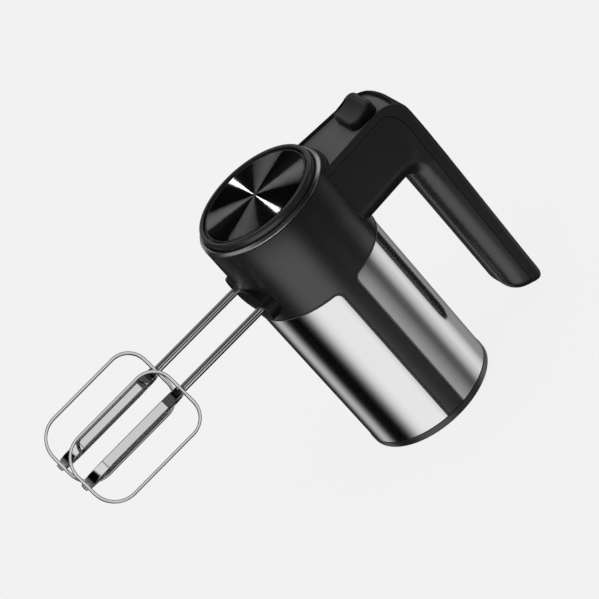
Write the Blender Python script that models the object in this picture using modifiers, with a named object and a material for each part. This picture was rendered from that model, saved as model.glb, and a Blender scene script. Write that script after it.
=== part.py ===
"""A hand mixer that stands on its heel: a round upright body, a looped handle and two beaters.

+Z is up along the body's axis, +Y points to the handle and -Y along the beaters.
Sizes below are in millimetres; MM turns them into metres where a mesh is made.
"""

import math

import bmesh
import bpy
from mathutils import Matrix, Vector

MM = 0.001
GAP = 0.3  # between pieces that touch or are fixed to each other
RUN = 0.1  # radial running clearance of a shaft in its bore

# Body
BASE_R = 44.4
COLLAR_R = 45.2
COLLAR_Z = 121.0
SHELL_TOP = 179.0
SHELL_WALL = 2.5
BODY_STEPS = 48
WINDOW_LOW = 5.0
WINDOW_HIGH = 120.5
WINDOW_CORNER = 4.0
STRIP_HALF = 7.2
PANEL_T = 0.9
PANEL_SINK = 0.35
RING_TOP = 181.5
RING_R = 43.7
CAP_R = 41.8
CAP_TOP = 185.7
DISC_R = 37.6
DISC_T = 1.4
CAP_FLOOR = 183.6
HEEL_T = 3.0

# Beaters and the boss that they leave
SHAFT_X = 19.85
SHAFT_Z = 137.42
SHAFT_R = 2.5
BOSS_Y = -45.5
BOSS_HALF = 27.5
BOSS_R = 12.0
LOOP_TOP = -113.5
LOOP_END = -196.7
LOOP_R = 24.8
STRIP_T = 1.9
STRIP_W = 6.2
LOOP_CORNER_TOP = 15.0
LOOP_CORNER_END = 18.0
LOOP_ANGLE = math.radians(-59.0)

# Handle
NECK_TOP = 175.9
NECK_LOW = 126.5
NECK_W0 = 24.9
NECK_Y0 = 43.0
NECK_TAPER = 0.108
NOOK_R = 3.0
GRIP_IN_Y = 78.5
CORNER_R = 19.5
GRIP_OUT_Y = 104.5
HANDLE_WALL = 2.4
ROOF_T = 6.4
RIM_T = 1.5
INLAY_SINK = 2.3
INLAY_T = 1.0
INLAY_BODY_R = 47.5
SEAM_GAP = 0.3
SLOT_HALF = 5.0
SLOT_Y = (70.8, 88.2)

# Speed slide and ejector
SLIDE_HALF = 14.0
WELL_HALF = 11.6
WELL_Y = (72.4, 86.6)
STEM_HALF = 4.2
STEM_Y = (83.2, 86.2)
STEM_TIP = 150.0
RAIL_IN = 6.0
RAIL_OUT = 9.0
BAR_LOW = 145.0
YOKE_Y = (20.3, 22.8)
PIN_HEAD_Y = (17.0, 20.0)

# Motor and gears
MOTOR_SHAFT_R = 3.0
CORE_LOW = 50.0
CORE_HIGH = 78.0
ARMATURE_R = 17.2
BORE_R = 17.7
COMMUTATOR_R = 10.0
BOX_LOW = 118.5
BOX_HIGH = 158.0
BOX_FRONT = -30.0
BOX_BACK = 7.7
COVER_Y = (8.0, 10.5)
SLEEVE_R = 5.2
TEETH = 24
GEAR_PITCH_R = 15.3
WORM_PITCH_R = SHAFT_X - GEAR_PITCH_R
LEAD = 2 * math.pi * GEAR_PITCH_R / TEETH
ADDENDUM = 1.2
DEDENDUM = 1.5
BACKLASH = 0.15
PRESSURE = math.tan(math.radians(20.0))
GEAR_HALF = 4.0
WORM_Z = (123.3, 151.7)


for old in list(bpy.data.objects):
    bpy.data.objects.remove(old)

PARTS = bpy.data.collections.new("hand_mixer")
CUTTERS = bpy.data.collections.new("cutters")
for made in (PARTS, CUTTERS):
    bpy.context.scene.collection.children.link(made)
CUTTERS.hide_render = True


def place(obj, into):
    into.objects.link(obj)
    if into is CUTTERS:
        obj.hide_render = True
        obj.display_type = "WIRE"
    return obj


def mesh_object(name, points, faces, at=(0, 0, 0), into=None, split=False):
    """An object of the given points, in mm from its own origin at `at`."""
    mesh = bpy.data.meshes.new(name)
    mesh.from_pydata([Vector(p) * MM for p in points], [], faces)
    work = bmesh.new()
    work.from_mesh(mesh)
    bmesh.ops.recalc_face_normals(work, faces=work.faces)
    if split:
        bmesh.ops.triangulate(work, faces=work.faces)
    work.to_mesh(mesh)
    work.free()
    obj = bpy.data.objects.new(name, mesh)
    obj.location = Vector(at) * MM
    return place(obj, into or PARTS)


def box(name, low, high, into=None):
    """A box between two corners, its origin at its centre."""
    low, high = Vector(low), Vector(high)
    work = bmesh.new()
    bmesh.ops.create_cube(work, size=1.0)
    bmesh.ops.scale(work, vec=(high - low) * MM, verts=work.verts)
    mesh = bpy.data.meshes.new(name)
    work.to_mesh(mesh)
    work.free()
    obj = bpy.data.objects.new(name, mesh)
    obj.location = (low + high) / 2 * MM
    return place(obj, into or PARTS)


def turned(name, profile, steps=24, at=(0, 0, 0), along="Z", into=None):
    """A solid of revolution from (radius, height) points that run down the outer side.

    A profile that starts and ends on the axis is solid; any other is closed into a ring.
    Its axis is turned to +Y or -Y by `along`.
    """
    ring = profile[0][0] > 0
    mesh = bpy.data.meshes.new(name)
    count = len(profile)
    edges = [(i, i + 1) for i in range(count - 1)]
    if ring:
        edges.append((count - 1, 0))
    mesh.from_pydata([(r * MM, 0, z * MM) for r, z in profile], edges, [])
    obj = bpy.data.objects.new(name, mesh)
    screw = obj.modifiers.new("turn", "SCREW")
    screw.steps = steps
    screw.render_steps = steps
    screw.use_merge_vertices = True
    screw.merge_threshold = 0.00001
    screw.use_smooth_shade = True
    obj.location = Vector(at) * MM
    obj.rotation_euler = {"Z": (0, 0, 0), "Y": (-math.pi / 2, 0, 0), "-Y": (math.pi / 2, 0, 0)}[along]
    return place(obj, into or PARTS)


def rod(name, radius, low, high, steps=24, at=(0, 0, 0), along="Z", into=None):
    profile = [(0, high), (radius, high), (radius, low), (0, low)]
    return turned(name, profile, steps, at, along, into)


def bush(name, inner, outer, low, high, steps=24, at=(0, 0, 0), along="Z", into=None):
    profile = [(outer, high), (outer, low), (inner, low), (inner, high)]
    return turned(name, profile, steps, at, along, into)


def prism(name, outline, axis, low, high, at=(0, 0, 0), into=None):
    """An outline extruded along one axis; its points are the other two coordinates in X, Y, Z order."""
    def point(p, level):
        full = list(p)
        full.insert("XYZ".index(axis), level)
        return full
    count = len(outline)
    points = [point(p, low) for p in outline] + [point(p, high) for p in outline]
    faces = [(i, (i + 1) % count, (i + 1) % count + count, i + count) for i in range(count)]
    faces.append(tuple(range(count)))
    faces.append(tuple(range(2 * count - 1, count - 1, -1)))
    return mesh_object(name, points, faces, at, into)


def loft(name, rings, closed=False, at=(0, 0, 0), into=None):
    """A skin over rings with the same number of points, capped unless it closes on itself."""
    size = len(rings[0])
    points = [p for ring in rings for p in ring]
    faces = []
    for i in range(len(rings) if closed else len(rings) - 1):
        a, b = i * size, (i + 1) % len(rings) * size
        for j in range(size):
            k = (j + 1) % size
            faces.append((a + j, a + k, b + k, b + j))
    if not closed:
        faces.append(tuple(range(size)))
        faces.append(tuple(range(len(points) - 1, len(points) - size - 1, -1)))
    return mesh_object(name, points, faces, at, into, split=True)


def combine(obj, operation, others):
    for other in others:
        modifier = obj.modifiers.new(other.name, "BOOLEAN")
        modifier.operation = operation
        modifier.solver = "EXACT"
        modifier.object = other
    return obj


def cut(obj, *others):
    return combine(obj, "DIFFERENCE", others)


def join(obj, *others):
    return combine(obj, "UNION", others)


def keep(obj, *others):
    return combine(obj, "INTERSECT", others)


def arc(centre, radius, start, end, steps):
    """Points on an arc, its angles in degrees."""
    found = []
    for i in range(steps + 1):
        angle = math.radians(start + (end - start) * i / steps)
        found.append((centre[0] + radius * math.cos(angle), centre[1] + radius * math.sin(angle)))
    return found


# ---------------------------------------------------------------- body

def body_radius(z):
    return BASE_R + (COLLAR_R - BASE_R) * min(1.0, z / COLLAR_Z)


def window_columns(inset, inner_sink, outer_sink, middle):
    """Rings of four points down one side of the body, for a panel centred on the angle `middle`."""
    half = math.pi / 2 - (STRIP_HALF + inset) / COLLAR_R
    corner = WINDOW_CORNER - inset
    low, high = WINDOW_LOW + inset, WINDOW_HIGH - inset
    steps = []
    for i in range(5):
        share = 1 - math.cos(math.pi / 2 * i / 4)
        steps.append((corner * share, corner * (1 - math.sin(math.pi / 2 * i / 4))))
    angles = [(half - across / COLLAR_R, up) for across, up in steps]
    angles += [(half * (1 - i / 11) - 0.001, 0.0) for i in range(2, 11)]
    mirrored = [(-angle, up) for angle, up in reversed(angles)]
    rings = []
    for angle, up in angles + [(0.0, 0.0)] + mirrored:
        ring = []
        sinks = (inner_sink, outer_sink)
        heights = [(low + up, sink) for sink in sinks] + [(high - up, sink) for sink in sinks[::-1]]
        for z, sink in heights:
            r = body_radius(z) - sink
            turn = middle + angle
            ring.append((r * math.cos(turn), r * math.sin(turn), z))
        rings.append(ring)
    return rings


def obround(half, radius, steps=8):
    """A flat-sided outline with round ends, about the middle between the two shafts."""
    right = arc((half - radius, 0), radius, -90, 90, steps)
    left = arc((-half + radius, 0), radius, 90, 270, steps)
    return [(x, z + SHAFT_Z) for x, z in right + left]


body_profile = [
    (COLLAR_R - SHELL_WALL, SHELL_TOP),
    (COLLAR_R - 0.4, SHELL_TOP),
    (COLLAR_R, SHELL_TOP - 0.5),
    (COLLAR_R, COLLAR_Z),
    (BASE_R, 3.0),
    (BASE_R - 0.35, 1.2),
    (BASE_R - 1.0, 0.35),
    (BASE_R - 2.0, 0.0),
    (BASE_R - SHELL_WALL, 0.0),
    (COLLAR_R - SHELL_WALL, COLLAR_Z),
]
body_shell = turned("body_shell", body_profile, BODY_STEPS)
for side, middle in (("front", -math.pi / 2), ("rear", math.pi / 2)):
    pocket = window_columns(0.0, PANEL_SINK + PANEL_T + GAP, -3.0, middle)
    cut(body_shell, loft("pocket_" + side, pocket, into=CUTTERS))
    loft("panel_" + side, window_columns(GAP, PANEL_SINK + PANEL_T, PANEL_SINK, middle))
cut(
    body_shell,
    prism("boss_hole", obround(BOSS_HALF + GAP, BOSS_R + GAP), "Y", -60.0, -20.0, into=CUTTERS),
    box("neck_hole", (-21.4, 30.0, 129.4), (21.4, 60.0, 168.8), into=CUTTERS),
)

shoulder = [
    (43.2, RING_TOP - 0.2),
    (RING_R - 0.2, RING_TOP),
    (RING_R, RING_TOP),
    (44.5, 181.0),
    (COLLAR_R - 0.1, 180.1),
    (COLLAR_R, SHELL_TOP + GAP),
    (43.2, SHELL_TOP + GAP),
]
turned("shoulder_ring", shoulder, BODY_STEPS)

cap_profile = [
    (0, CAP_FLOOR),
    (DISC_R + GAP, CAP_FLOOR),
    (DISC_R + GAP, CAP_TOP - 0.3),
    (DISC_R + GAP + 0.3, CAP_TOP),
    (CAP_R - 0.6, CAP_TOP),
    (CAP_R, CAP_TOP - 0.6),
    (CAP_R, 178.0),
    (COLLAR_R - SHELL_WALL - GAP, 178.0),
    (COLLAR_R - SHELL_WALL - GAP, 176.0),
    (CAP_R - 2.4, 176.0),
    (CAP_R - 2.4, CAP_FLOOR - 2.4),
    (0, CAP_FLOOR - 2.4),
]
turned("rim_cap", cap_profile, BODY_STEPS)
disc_profile = [
    (0, CAP_FLOOR + GAP + DISC_T),
    (DISC_R - 1.1, CAP_FLOOR + GAP + DISC_T),
    (DISC_R, CAP_FLOOR + GAP + DISC_T - 0.8),
    (DISC_R, CAP_FLOOR + GAP),
    (0, CAP_FLOOR + GAP),
]
turned("disc_insert", disc_profile, BODY_STEPS)

heel_cap = rod("heel_cap", BASE_R - SHELL_WALL - GAP, 0.0, HEEL_T, BODY_STEPS)
for i in range(8):
    turn = math.radians(22.5 + 45 * i)
    slot = box("vent_%d" % i, (-6.0, -1.2, -2.0), (6.0, 1.2, HEEL_T + 2.0), into=CUTTERS)
    slot.location = Vector((math.cos(turn) * 27.0, math.sin(turn) * 27.0, HEEL_T / 2)) * MM
    slot.rotation_euler = (0, 0, turn)
    cut(heel_cap, slot)
for side, y in (("front", -32.0), ("rear", 32.0)):
    recess = [(0, HEEL_T + 1), (1.7, HEEL_T + 1), (1.7, 2.0), (3.3, 2.0), (3.3, -1), (0, -1)]
    cut(heel_cap, turned("screw_recess_" + side, recess, 16, (0, y, 0), into=CUTTERS))
    screw = [(0, 17.7), (1.4, 17.7), (1.4, 1.7), (3.0, 1.7), (3.0, 0.5), (0, 0.5)]
    turned("heel_screw_" + side, screw, 16, (0, y, 0))

boss = prism("beater_boss", obround(BOSS_HALF, BOSS_R), "Y", BOSS_Y, BOX_FRONT - GAP)
boss_round = boss.modifiers.new("edge", "BEVEL")
boss_round.width = 1.2 * MM
boss_round.segments = 2
boss_round.limit_method = "ANGLE"
boss_round.angle_limit = math.radians(60)
for side, x in (("left", SHAFT_X), ("right", -SHAFT_X)):
    cut(boss, rod("socket_" + side, SLEEVE_R + 1.0, 20.0, 60.0, 24, (x, 0, SHAFT_Z), "-Y", CUTTERS))


# ---------------------------------------------------------------- handle

def neck_half(y):
    return NECK_W0 - NECK_TAPER * (y - NECK_Y0)


def handle_stations():
    """(inner y, inner z, outer y, outer z, half width, inner radius, outer radius) along the handle."""
    found = []
    pivot = (GRIP_IN_Y - NOOK_R, NECK_LOW - NOOK_R)
    for y, fuller in ((30.0, 0.0), (54.0, 0.08), (pivot[0], 0.05)):
        found.append((y, NECK_LOW, y, NECK_TOP, neck_half(y) + fuller, 3.5, 1.2))
    centre = (GRIP_OUT_Y - CORNER_R, NECK_TOP - CORNER_R)
    outer = [(82.0, NECK_TOP)] + arc(centre, CORNER_R, 90, 0, 6)
    outer += [(104.45, 148.0), (104.3, 136.0), (103.9, pivot[1])]
    count = len(outer)
    for i, (y, z) in enumerate(outer):
        share = (i + 1) / count
        turn = math.radians(90 * (1 - share))
        inner = (pivot[0] + NOOK_R * math.cos(turn), pivot[1] + NOOK_R * math.sin(turn))
        blend = min(1.0, max(0.0, (i - 1) / (count - 3)))
        half = neck_half(y) if i < 8 else neck_half(GRIP_OUT_Y) - 0.12 * (i - 7)
        found.append(inner + (y, z, half, 3.5 + 4.5 * blend, 1.2 + 8.8 * blend * blend))
    for z, y_in, y_out, half in (
        (100.0, 78.45, 103.3, 17.8),
        (70.0, 78.35, 102.5, 17.5),
        (40.0, 78.2, 101.75, 17.3),
        (28.0, 78.1, 101.45, 17.2),
    ):
        found.append((y_in, z, y_out, z - 1.0, half, 8.0, 10.0))
    return found


def end_stations(inset):
    """The grip's rounded slanted end, drawn in as it closes."""
    return [
        (78.4 + inset, 23.0 + inset, 101.3 - inset, 16.0 + inset, 17.1 - inset, 8.0, 9.5),
        (79.6 + inset, 18.5 + inset, 100.9 - inset, 11.5 + inset, 16.3 - inset, 7.5, 8.5),
        (81.8 + inset, 15.2 + inset, 99.6 - inset, 9.0 + inset, 14.6 - inset, 6.5, 7.5),
        (84.6 + inset, 13.3 + inset, 97.6 - inset, 8.2 + inset, 12.0 - inset, 5.0, 5.0),
    ]


def handle_ring(station, steps=4):
    """A rounded rectangle in the plane through a station's inner and outer points."""
    y_in, z_in, y_out, z_out, half, r_in, r_out = station
    inner, outer = Vector((0, y_in, z_in)), Vector((0, y_out, z_out))
    up = (outer - inner).normalized()
    across = Vector((1, 0, 0))
    ring = []
    for base, along, side, radius, start in (
        (outer, -up, 1, r_out, 90),
        (inner, up, 1, r_in, 0),
        (inner, up, -1, r_in, 90),
        (outer, -up, -1, r_out, 0),
    ):
        corner = base + across * side * (half - radius) + along * radius
        quarter = []
        for i in range(steps + 1):
            turn = math.radians(90 * i / steps)
            quarter.append(corner + across * side * radius * math.cos(turn) - along * radius * math.sin(turn))
        ring += quarter[::-1] if start == 90 else quarter
    return ring


def hollow_station(station, roof):
    y_in, z_in, y_out, z_out, half, r_in, r_out = station
    inner, outer = Vector((y_in, z_in)), Vector((y_out, z_out))
    up = (outer - inner).normalized()
    inner += up * HANDLE_WALL
    outer -= up * roof
    small_in, small_out = max(0.8, r_in - HANDLE_WALL), max(0.8, r_out - HANDLE_WALL)
    return (inner.x, inner.y, outer.x, outer.y, half - HANDLE_WALL, small_in, small_out)


stations = handle_stations()
outer_rings = [handle_ring(s) for s in stations + end_stations(0.0)]
hollow = [handle_ring(hollow_station((24.0, NECK_LOW, 24.0, NECK_TOP, neck_half(24.0), 3.5, 1.2), ROOF_T), 3)]
for index, station in enumerate(stations):
    roof = ROOF_T if index < 8 else ROOF_T + (2.6 - ROOF_T) * min(1.0, (index - 7) / 4)
    hollow.append(handle_ring(hollow_station(station, roof), 3))
hollow += [handle_ring(s, 3) for s in end_stations(HANDLE_WALL)[:2]]

seam = [(20.0, 171.5), (85.5, 171.5)]
seam += [(88.6, 170.3), (91.3, 167.6), (93.6, 163.4), (95.1, 158.2), (95.6, 152.5)]
seam += [(95.5, 140.0), (92.6, 15.0), (92.2, 0.0)]
beyond = [(120.0, 0.0), (120.0, 190.0), (20.0, 190.0)]


def moved_in(line, gap):
    """A seam line shifted towards the inside of the handle."""
    shifted = []
    for i, point in enumerate(line):
        before = Vector(line[max(0, i - 1)])
        after = Vector(line[min(len(line) - 1, i + 1)])
        run = (after - before).normalized()
        shifted.append((point[0] + run.y * gap, point[1] - run.x * gap))
    return shifted


body_core = rod("body_core", COLLAR_R + GAP, -10.0, 200.0, BODY_STEPS, into=CUTTERS)
grip_hollow = loft("grip_hollow", hollow, into=CUTTERS)
spine_side = prism("spine_side", seam + beyond, "X", -40.0, 40.0, into=CUTTERS)
shell_trim = prism("shell_trim", moved_in(seam, SEAM_GAP) + beyond, "X", -40.0, 40.0, into=CUTTERS)
slot_cut = box("slide_slot", (-SLOT_HALF, SLOT_Y[0], 160.0), (SLOT_HALF, SLOT_Y[1], 180.0), into=CUTTERS)


def inlay_rings(half_gap, above, below, end_reach):
    """Four-point rings along the handle's top, sunk below its surface, narrowing to a round end."""
    centre = (GRIP_OUT_Y - CORNER_R, NECK_TOP - CORNER_R)
    path = [(y, NECK_TOP, 0.0, 1.0) for y in (36.0, 50.0, 64.0, 78.0, centre[0])]
    for degrees in (8, 16, 24, 32, 38, 43, 47, 50, 52):
        turn = math.radians(90 - degrees)
        path.append(
            (centre[0] + CORNER_R * math.cos(turn), centre[1] + CORNER_R * math.sin(turn),
             math.cos(turn), math.sin(turn))
        )
    rings = []
    for i, (y, z, ny, nz) in enumerate(path):
        half = neck_half(y) - RIM_T - half_gap
        late = max(0.0, (i - 9) / 4)
        half *= math.sqrt(max(0.02, 1 - (late * end_reach) ** 2))
        rings.append([
            (x, y + ny * lift, z + nz * lift)
            for x, lift in ((-half, above), (half, above), (half, below), (-half, below))
        ])
    return rings


inlay_floor = -INLAY_SINK - INLAY_T - 0.2
recess = loft("inlay_recess", inlay_rings(0.0, 12.0, inlay_floor, 0.96), into=CUTTERS)
cut(recess, rod("inlay_start", INLAY_BODY_R - GAP, -10.0, 210.0, BODY_STEPS, into=CUTTERS))

handle_spine = loft("handle_spine", outer_rings)
cut(handle_spine, body_core, grip_hollow)
keep(handle_spine, spine_side)
cut(handle_spine, recess, slot_cut)
handle_shell = loft("handle_shell", outer_rings)
GLAND_AT = (0, 87.3, 0)
GLAND_R = 3.8
gland_hole = rod("gland_hole", GLAND_R + GAP, 0.0, 40.0, 20, GLAND_AT, into=CUTTERS)
cut(handle_shell, grip_hollow, body_core, shell_trim, slot_cut, gland_hole)

inlay = loft("handle_inlay", inlay_rings(GAP, -INLAY_SINK, -INLAY_SINK - INLAY_T, 0.965))
cut(inlay, rod("inlay_edge", INLAY_BODY_R, -10.0, 210.0, BODY_STEPS, into=CUTTERS), slot_cut)

gland = [(GLAND_R, 24.0), (GLAND_R, 12.3), (2.4, 12.3), (2.4, 24.0)]
turned("cord_gland", gland, 20, GLAND_AT)


# ---------------------------------------------------------------- speed slide, ejector and switch

SLIDE_LOW = NECK_TOP - INLAY_SINK + GAP
slide_rings = []
for y, drawn_in, top in (
    (70.0, 2.6, 178.4),
    (70.8, 0.9, 179.2),
    (72.2, 0.0, 180.6),
    (76.0, 0.0, 181.6),
    (80.0, 0.0, 182.1),
    (84.5, 0.0, 182.3),
    (87.0, 0.1, 181.4),
    (88.5, 0.5, 179.8),
    (89.3, 1.4, 178.4),
):
    half = SLIDE_HALF - drawn_in
    slide_rings.append([
        (-half, y, SLIDE_LOW),
        (half, y, SLIDE_LOW),
        (half, y, top - 0.6),
        (half - 0.6, y, top),
        (-half + 0.6, y, top),
        (-half, y, top - 0.6),
    ])
speed_slide = loft("speed_slide", slide_rings)
well = box("slide_well", (-WELL_HALF, WELL_Y[0], 165.0), (WELL_HALF, WELL_Y[1], 190.0), into=CUTTERS)
cut(speed_slide, well)
join(speed_slide, box("slide_leg", (-4.5, 86.9, 169.3), (4.5, 87.9, 175.0), into=CUTTERS))

button_half = WELL_HALF - GAP
button_rings = []
for y, middle, rise in (
    (WELL_Y[0] + GAP, 179.0, 0.5),
    (75.0, 179.1, 0.9),
    (78.0, 179.4, 1.2),
    (81.0, 180.0, 1.1),
    (84.0, 181.0, 0.7),
    (WELL_Y[1] - GAP, 181.7, 0.3),
):
    ring = [(-button_half, y, 177.9), (button_half, y, 177.9)]
    for i in range(7):
        across = 1 - i / 3
        ring.append((button_half * across, y, middle + rise * across ** 2))
    button_rings.append(ring)
eject_button = loft("eject_button", button_rings)
# The stem widens below the slide, and its slanted foot meets the yoke's bar.
stem = [
    (STEM_Y[0], 178.4),
    (STEM_Y[1], 178.4),
    (STEM_Y[1], STEM_TIP),
    (STEM_Y[1] - 1.5, STEM_TIP),
    (STEM_Y[0] - 3.0, STEM_TIP + 4.5),
    (STEM_Y[0] - 3.0, 163.0),
    (STEM_Y[0], 163.0),
]
join(eject_button, prism("button_stem", stem, "X", -STEM_HALF, STEM_HALF, into=CUTTERS))

carriage = box("speed_carriage", (-10.0, 62.0, 166.5), (10.0, 88.1, 169.0))
stem_gap = (STEM_HALF + 0.4, STEM_Y[0] - 0.4, STEM_Y[1] + 0.4)
hole_low, hole_high = (-stem_gap[0], stem_gap[1], 160.0), (stem_gap[0], stem_gap[2], 172.0)
cut(carriage, box("stem_hole", hole_low, hole_high, into=CUTTERS))
box("contact_slider", (-6.0, 62.0, 165.8), (6.0, 66.0, 166.2))
switch = box("switch_body", (-12.0, 50.0, 152.0), (12.0, 67.0, 165.4))
join(switch, box("switch_ears", (-20.3, 54.0, 155.0), (20.3, 60.0, 158.0), into=CUTTERS))

yoke = box("ejector_yoke", (-25.0, YOKE_Y[0], 130.5), (25.0, YOKE_Y[1], STEM_TIP - GAP))
rails = box("yoke_rails", (-RAIL_OUT, YOKE_Y[1] - 1.0, BAR_LOW), (RAIL_OUT, 84.5, STEM_TIP - GAP), into=CUTTERS)
join(yoke, rails)
cut(yoke, box("yoke_gap", (-RAIL_IN, YOKE_Y[1] + 3.0, 140.0), (RAIL_IN, 81.0, 155.0), into=CUTTERS))

for side, x in (("live", 1.0), ("neutral", -1.0)):
    path = [(1.2, 87.3, 24.5), (3.0, 90.0, 40.0), (5.0, 90.5, 110.0), (10.5, 89.0, 134.0), (13.0, 82.0, 152.0),
            (13.0, 75.0, 158.0), (10.5, 67.8, 160.0)]
    rings = []
    for i, point in enumerate(path):
        before = Vector(path[max(0, i - 1)])
        after = Vector(path[min(len(path) - 1, i + 1)])
        run = (after - before).normalized()
        first = run.cross(Vector((0, 1, 0.3))).normalized()
        second = run.cross(first).normalized()
        ring = []
        for j in range(8):
            turn = math.pi / 4 * j
            spot = Vector(point) + first * 0.95 * math.cos(turn) + second * 0.95 * math.sin(turn)
            ring.append((spot.x * x, spot.y, spot.z))
        rings.append(ring)
    loft("lead_" + side, rings)


# ---------------------------------------------------------------- motor

lower_round = rod("lower_round", BASE_R - SHELL_WALL - GAP - 0.05, 0.0, 60.0, BODY_STEPS, into=CUTTERS)
upper_round = rod("upper_round", COLLAR_R - SHELL_WALL - 0.5, 70.0, 170.0, BODY_STEPS, into=CUTTERS)
for name, low, high, leg_low, leg_high, edge in (
    ("lower_bracket", 18.0, 21.0, 20.5, CORE_LOW - GAP, lower_round),
    ("upper_bracket", 108.0, 111.0, CORE_HIGH + GAP, 108.5, upper_round),
):
    bracket = box(name, (-9.0, -50.0, low), (9.0, 50.0, high))
    join(bracket, box(name + "_arm", (-30.0, -8.0, low), (30.0, 8.0, high), into=CUTTERS))
    for side in (-1, 1):
        xs = sorted((side * 26.5, side * 29.6))
        leg = box("%s_leg_%d" % (name, side), (xs[0], -7.6, leg_low), (xs[1], 7.6, leg_high), into=CUTTERS)
        join(bracket, leg)
    keep(bracket, edge)
    cut(bracket, rod(name + "_bore", 7.0 + GAP, low - 1, high + 1, 24, into=CUTTERS))
bore = MOTOR_SHAFT_R + RUN
turned("lower_bearing", [(7.0, 22.0), (7.0, 17.7), (9.0, 17.7), (9.0, 16.4), (bore, 16.4), (bore, 22.0)])
turned("upper_bearing", [(7.0, 112.0), (7.0, 107.7), (9.0, 107.7), (9.0, 106.4), (bore, 106.4), (bore, 112.0)])

field_core = box("field_core", (-31.0, -26.0, CORE_LOW), (31.0, 26.0, CORE_HIGH))
cut(field_core, box("field_window", (-24.0, -19.5, 40.0), (24.0, 19.5, 90.0), into=CUTTERS))
join(field_core, box("field_pole_left", (14.0, -11.0, CORE_LOW), (25.0, 11.0, CORE_HIGH), into=CUTTERS))
join(field_core, box("field_pole_right", (-25.0, -11.0, CORE_LOW), (-14.0, 11.0, CORE_HIGH), into=CUTTERS))
cut(field_core, rod("field_bore", BORE_R, 40.0, 90.0, 32, into=CUTTERS))
for side, x in (("left", 1), ("right", -1)):
    xs = sorted((x * 18.9, x * 23.4))
    coil = box("field_coil_" + side, (xs[0], -18.4, 44.5), (xs[1], 18.4, 83.5))
    window_low, window_high = (-30.0, -11.4, CORE_LOW - 0.4), (30.0, 11.4, CORE_HIGH + 0.4)
    cut(coil, box("coil_window_" + side, window_low, window_high, into=CUTTERS))
for side, y in (("front", -1), ("rear", 1)):
    ys = sorted((y * 13.0, y * 26.0))
    holder = box("brush_holder_" + side, (-4.5, ys[0], 21.3), (4.5, ys[1], 41.0))
    cut(holder, box("brush_way_" + side, (-2.8, -40.0, 33.2), (2.8, 40.0, 38.8), into=CUTTERS))
    ys = sorted((y * (COMMUTATOR_R + GAP), y * 22.0))
    box("brush_" + side, (-2.5, ys[0], 33.5), (2.5, ys[1], 38.5))

fit = MOTOR_SHAFT_R + GAP
rod("armature_shaft", MOTOR_SHAFT_R, 12.0, WORM_Z[0] - GAP)
bush("commutator", fit, COMMUTATOR_R, 30.0, 42.0, 24)
turned("winding_lower", [(12.0, 49.7), (15.0, 48.5), (15.0, 45.0), (12.0, 42.6), (fit, 42.6), (fit, 49.7)])
turned("winding_upper", [(12.0, 86.0), (15.0, 83.5), (15.0, 79.5), (12.0, 78.3), (fit, 78.3), (fit, 86.0)])
slots = []
for i in range(12):
    middle = 30 * i
    tooth = [(ARMATURE_R, offset) for offset in (-11.5, -4.0, 4.0, 11.5)]
    for r, offset in tooth + [(11.0, 12.0), (11.0, 18.0)]:
        turn = math.radians(middle + offset)
        slots.append((r * math.cos(turn), r * math.sin(turn)))
armature_core = prism("armature_core", slots, "Z", CORE_LOW, CORE_HIGH)
cut(armature_core, rod("core_bore", fit, 40.0, 90.0, 24, into=CUTTERS))

fan = turned("fan", [(7.0, 103.0), (7.0, 93.6), (24.0, 93.6), (24.0, 92.0), (fit, 92.0), (fit, 103.0)])
blades = []
for i in range(9):
    turn = 2 * math.pi * i / 9
    lead = turn + 0.35
    ways = [(6.2, turn), (23.5, lead)]
    side = Vector((-math.sin(turn), math.cos(turn), 0)) * 0.6
    ends = [Vector((r * math.cos(a), r * math.sin(a), 0)) for r, a in ways]
    for z in (93.0, 101.5):
        for end in ends:
            blades += [end + side + Vector((0, 0, z)), end - side + Vector((0, 0, z))]
blade_faces = []
for i in range(9):
    a = i * 8
    for face in ((0, 1, 3, 2), (4, 6, 7, 5), (0, 4, 5, 1), (2, 3, 7, 6), (0, 2, 6, 4), (1, 5, 7, 3)):
        blade_faces.append(tuple(a + k for k in face))
join(fan, mesh_object("fan_blades", blades, blade_faces, into=CUTTERS))


# ---------------------------------------------------------------- worm, gears and their box

def worm_skin(name):
    """A single-start thread: four lines of points run up the helix and each turn joins the next."""
    columns = 16
    tip, root = WORM_PITCH_R + ADDENDUM, WORM_PITCH_R - DEDENDUM + 0.05
    tip_half = LEAD / 4 - BACKLASH - ADDENDUM * PRESSURE
    root_half = LEAD / 4 - BACKLASH + (DEDENDUM - 0.05) * PRESSURE
    marks = ((-root_half, root), (-tip_half, tip), (tip_half, tip), (root_half, root))
    turns = 10
    rows = []
    for turn in range(turns + 1):
        for offset, radius in marks:
            rows.append((SHAFT_Z + (turn - 5) * LEAD + offset, radius))
    points = []
    for z, radius in rows:
        for i in range(columns):
            angle = 2 * math.pi * i / columns
            points.append((radius * math.cos(angle), radius * math.sin(angle), z + LEAD * i / columns))
    faces = []
    last = len(rows) - 4

    def spot(row, column):
        return (row + 4) * columns if column == columns else row * columns + column
    for row in range(last - 1):
        for i in range(columns):
            faces.append((spot(row, i), spot(row, i + 1), spot(row + 1, i + 1), spot(row + 1, i)))
    low_edge = [spot(0, i) for i in range(columns)] + [spot(k, 0) for k in (4, 3, 2, 1)]
    high_row = last - 1
    high_edge = [spot(high_row, i) for i in range(columns)] + [spot(high_row + k, 0) for k in (4, 3, 2, 1)]
    for edge, z in ((low_edge, SHAFT_Z - 5 * LEAD - 6.0), (high_edge, SHAFT_Z + 5 * LEAD + 6.0)):
        centre = len(points)
        points.append((0, 0, z))
        for i, here in enumerate(edge):
            faces.append((here, edge[(i + 1) % len(edge)], centre))
    used = sorted({k for face in faces for k in face})
    place_of = {k: i for i, k in enumerate(used)}
    return mesh_object(name, [points[k] for k in used], [tuple(place_of[k] for k in face) for face in faces])


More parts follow.
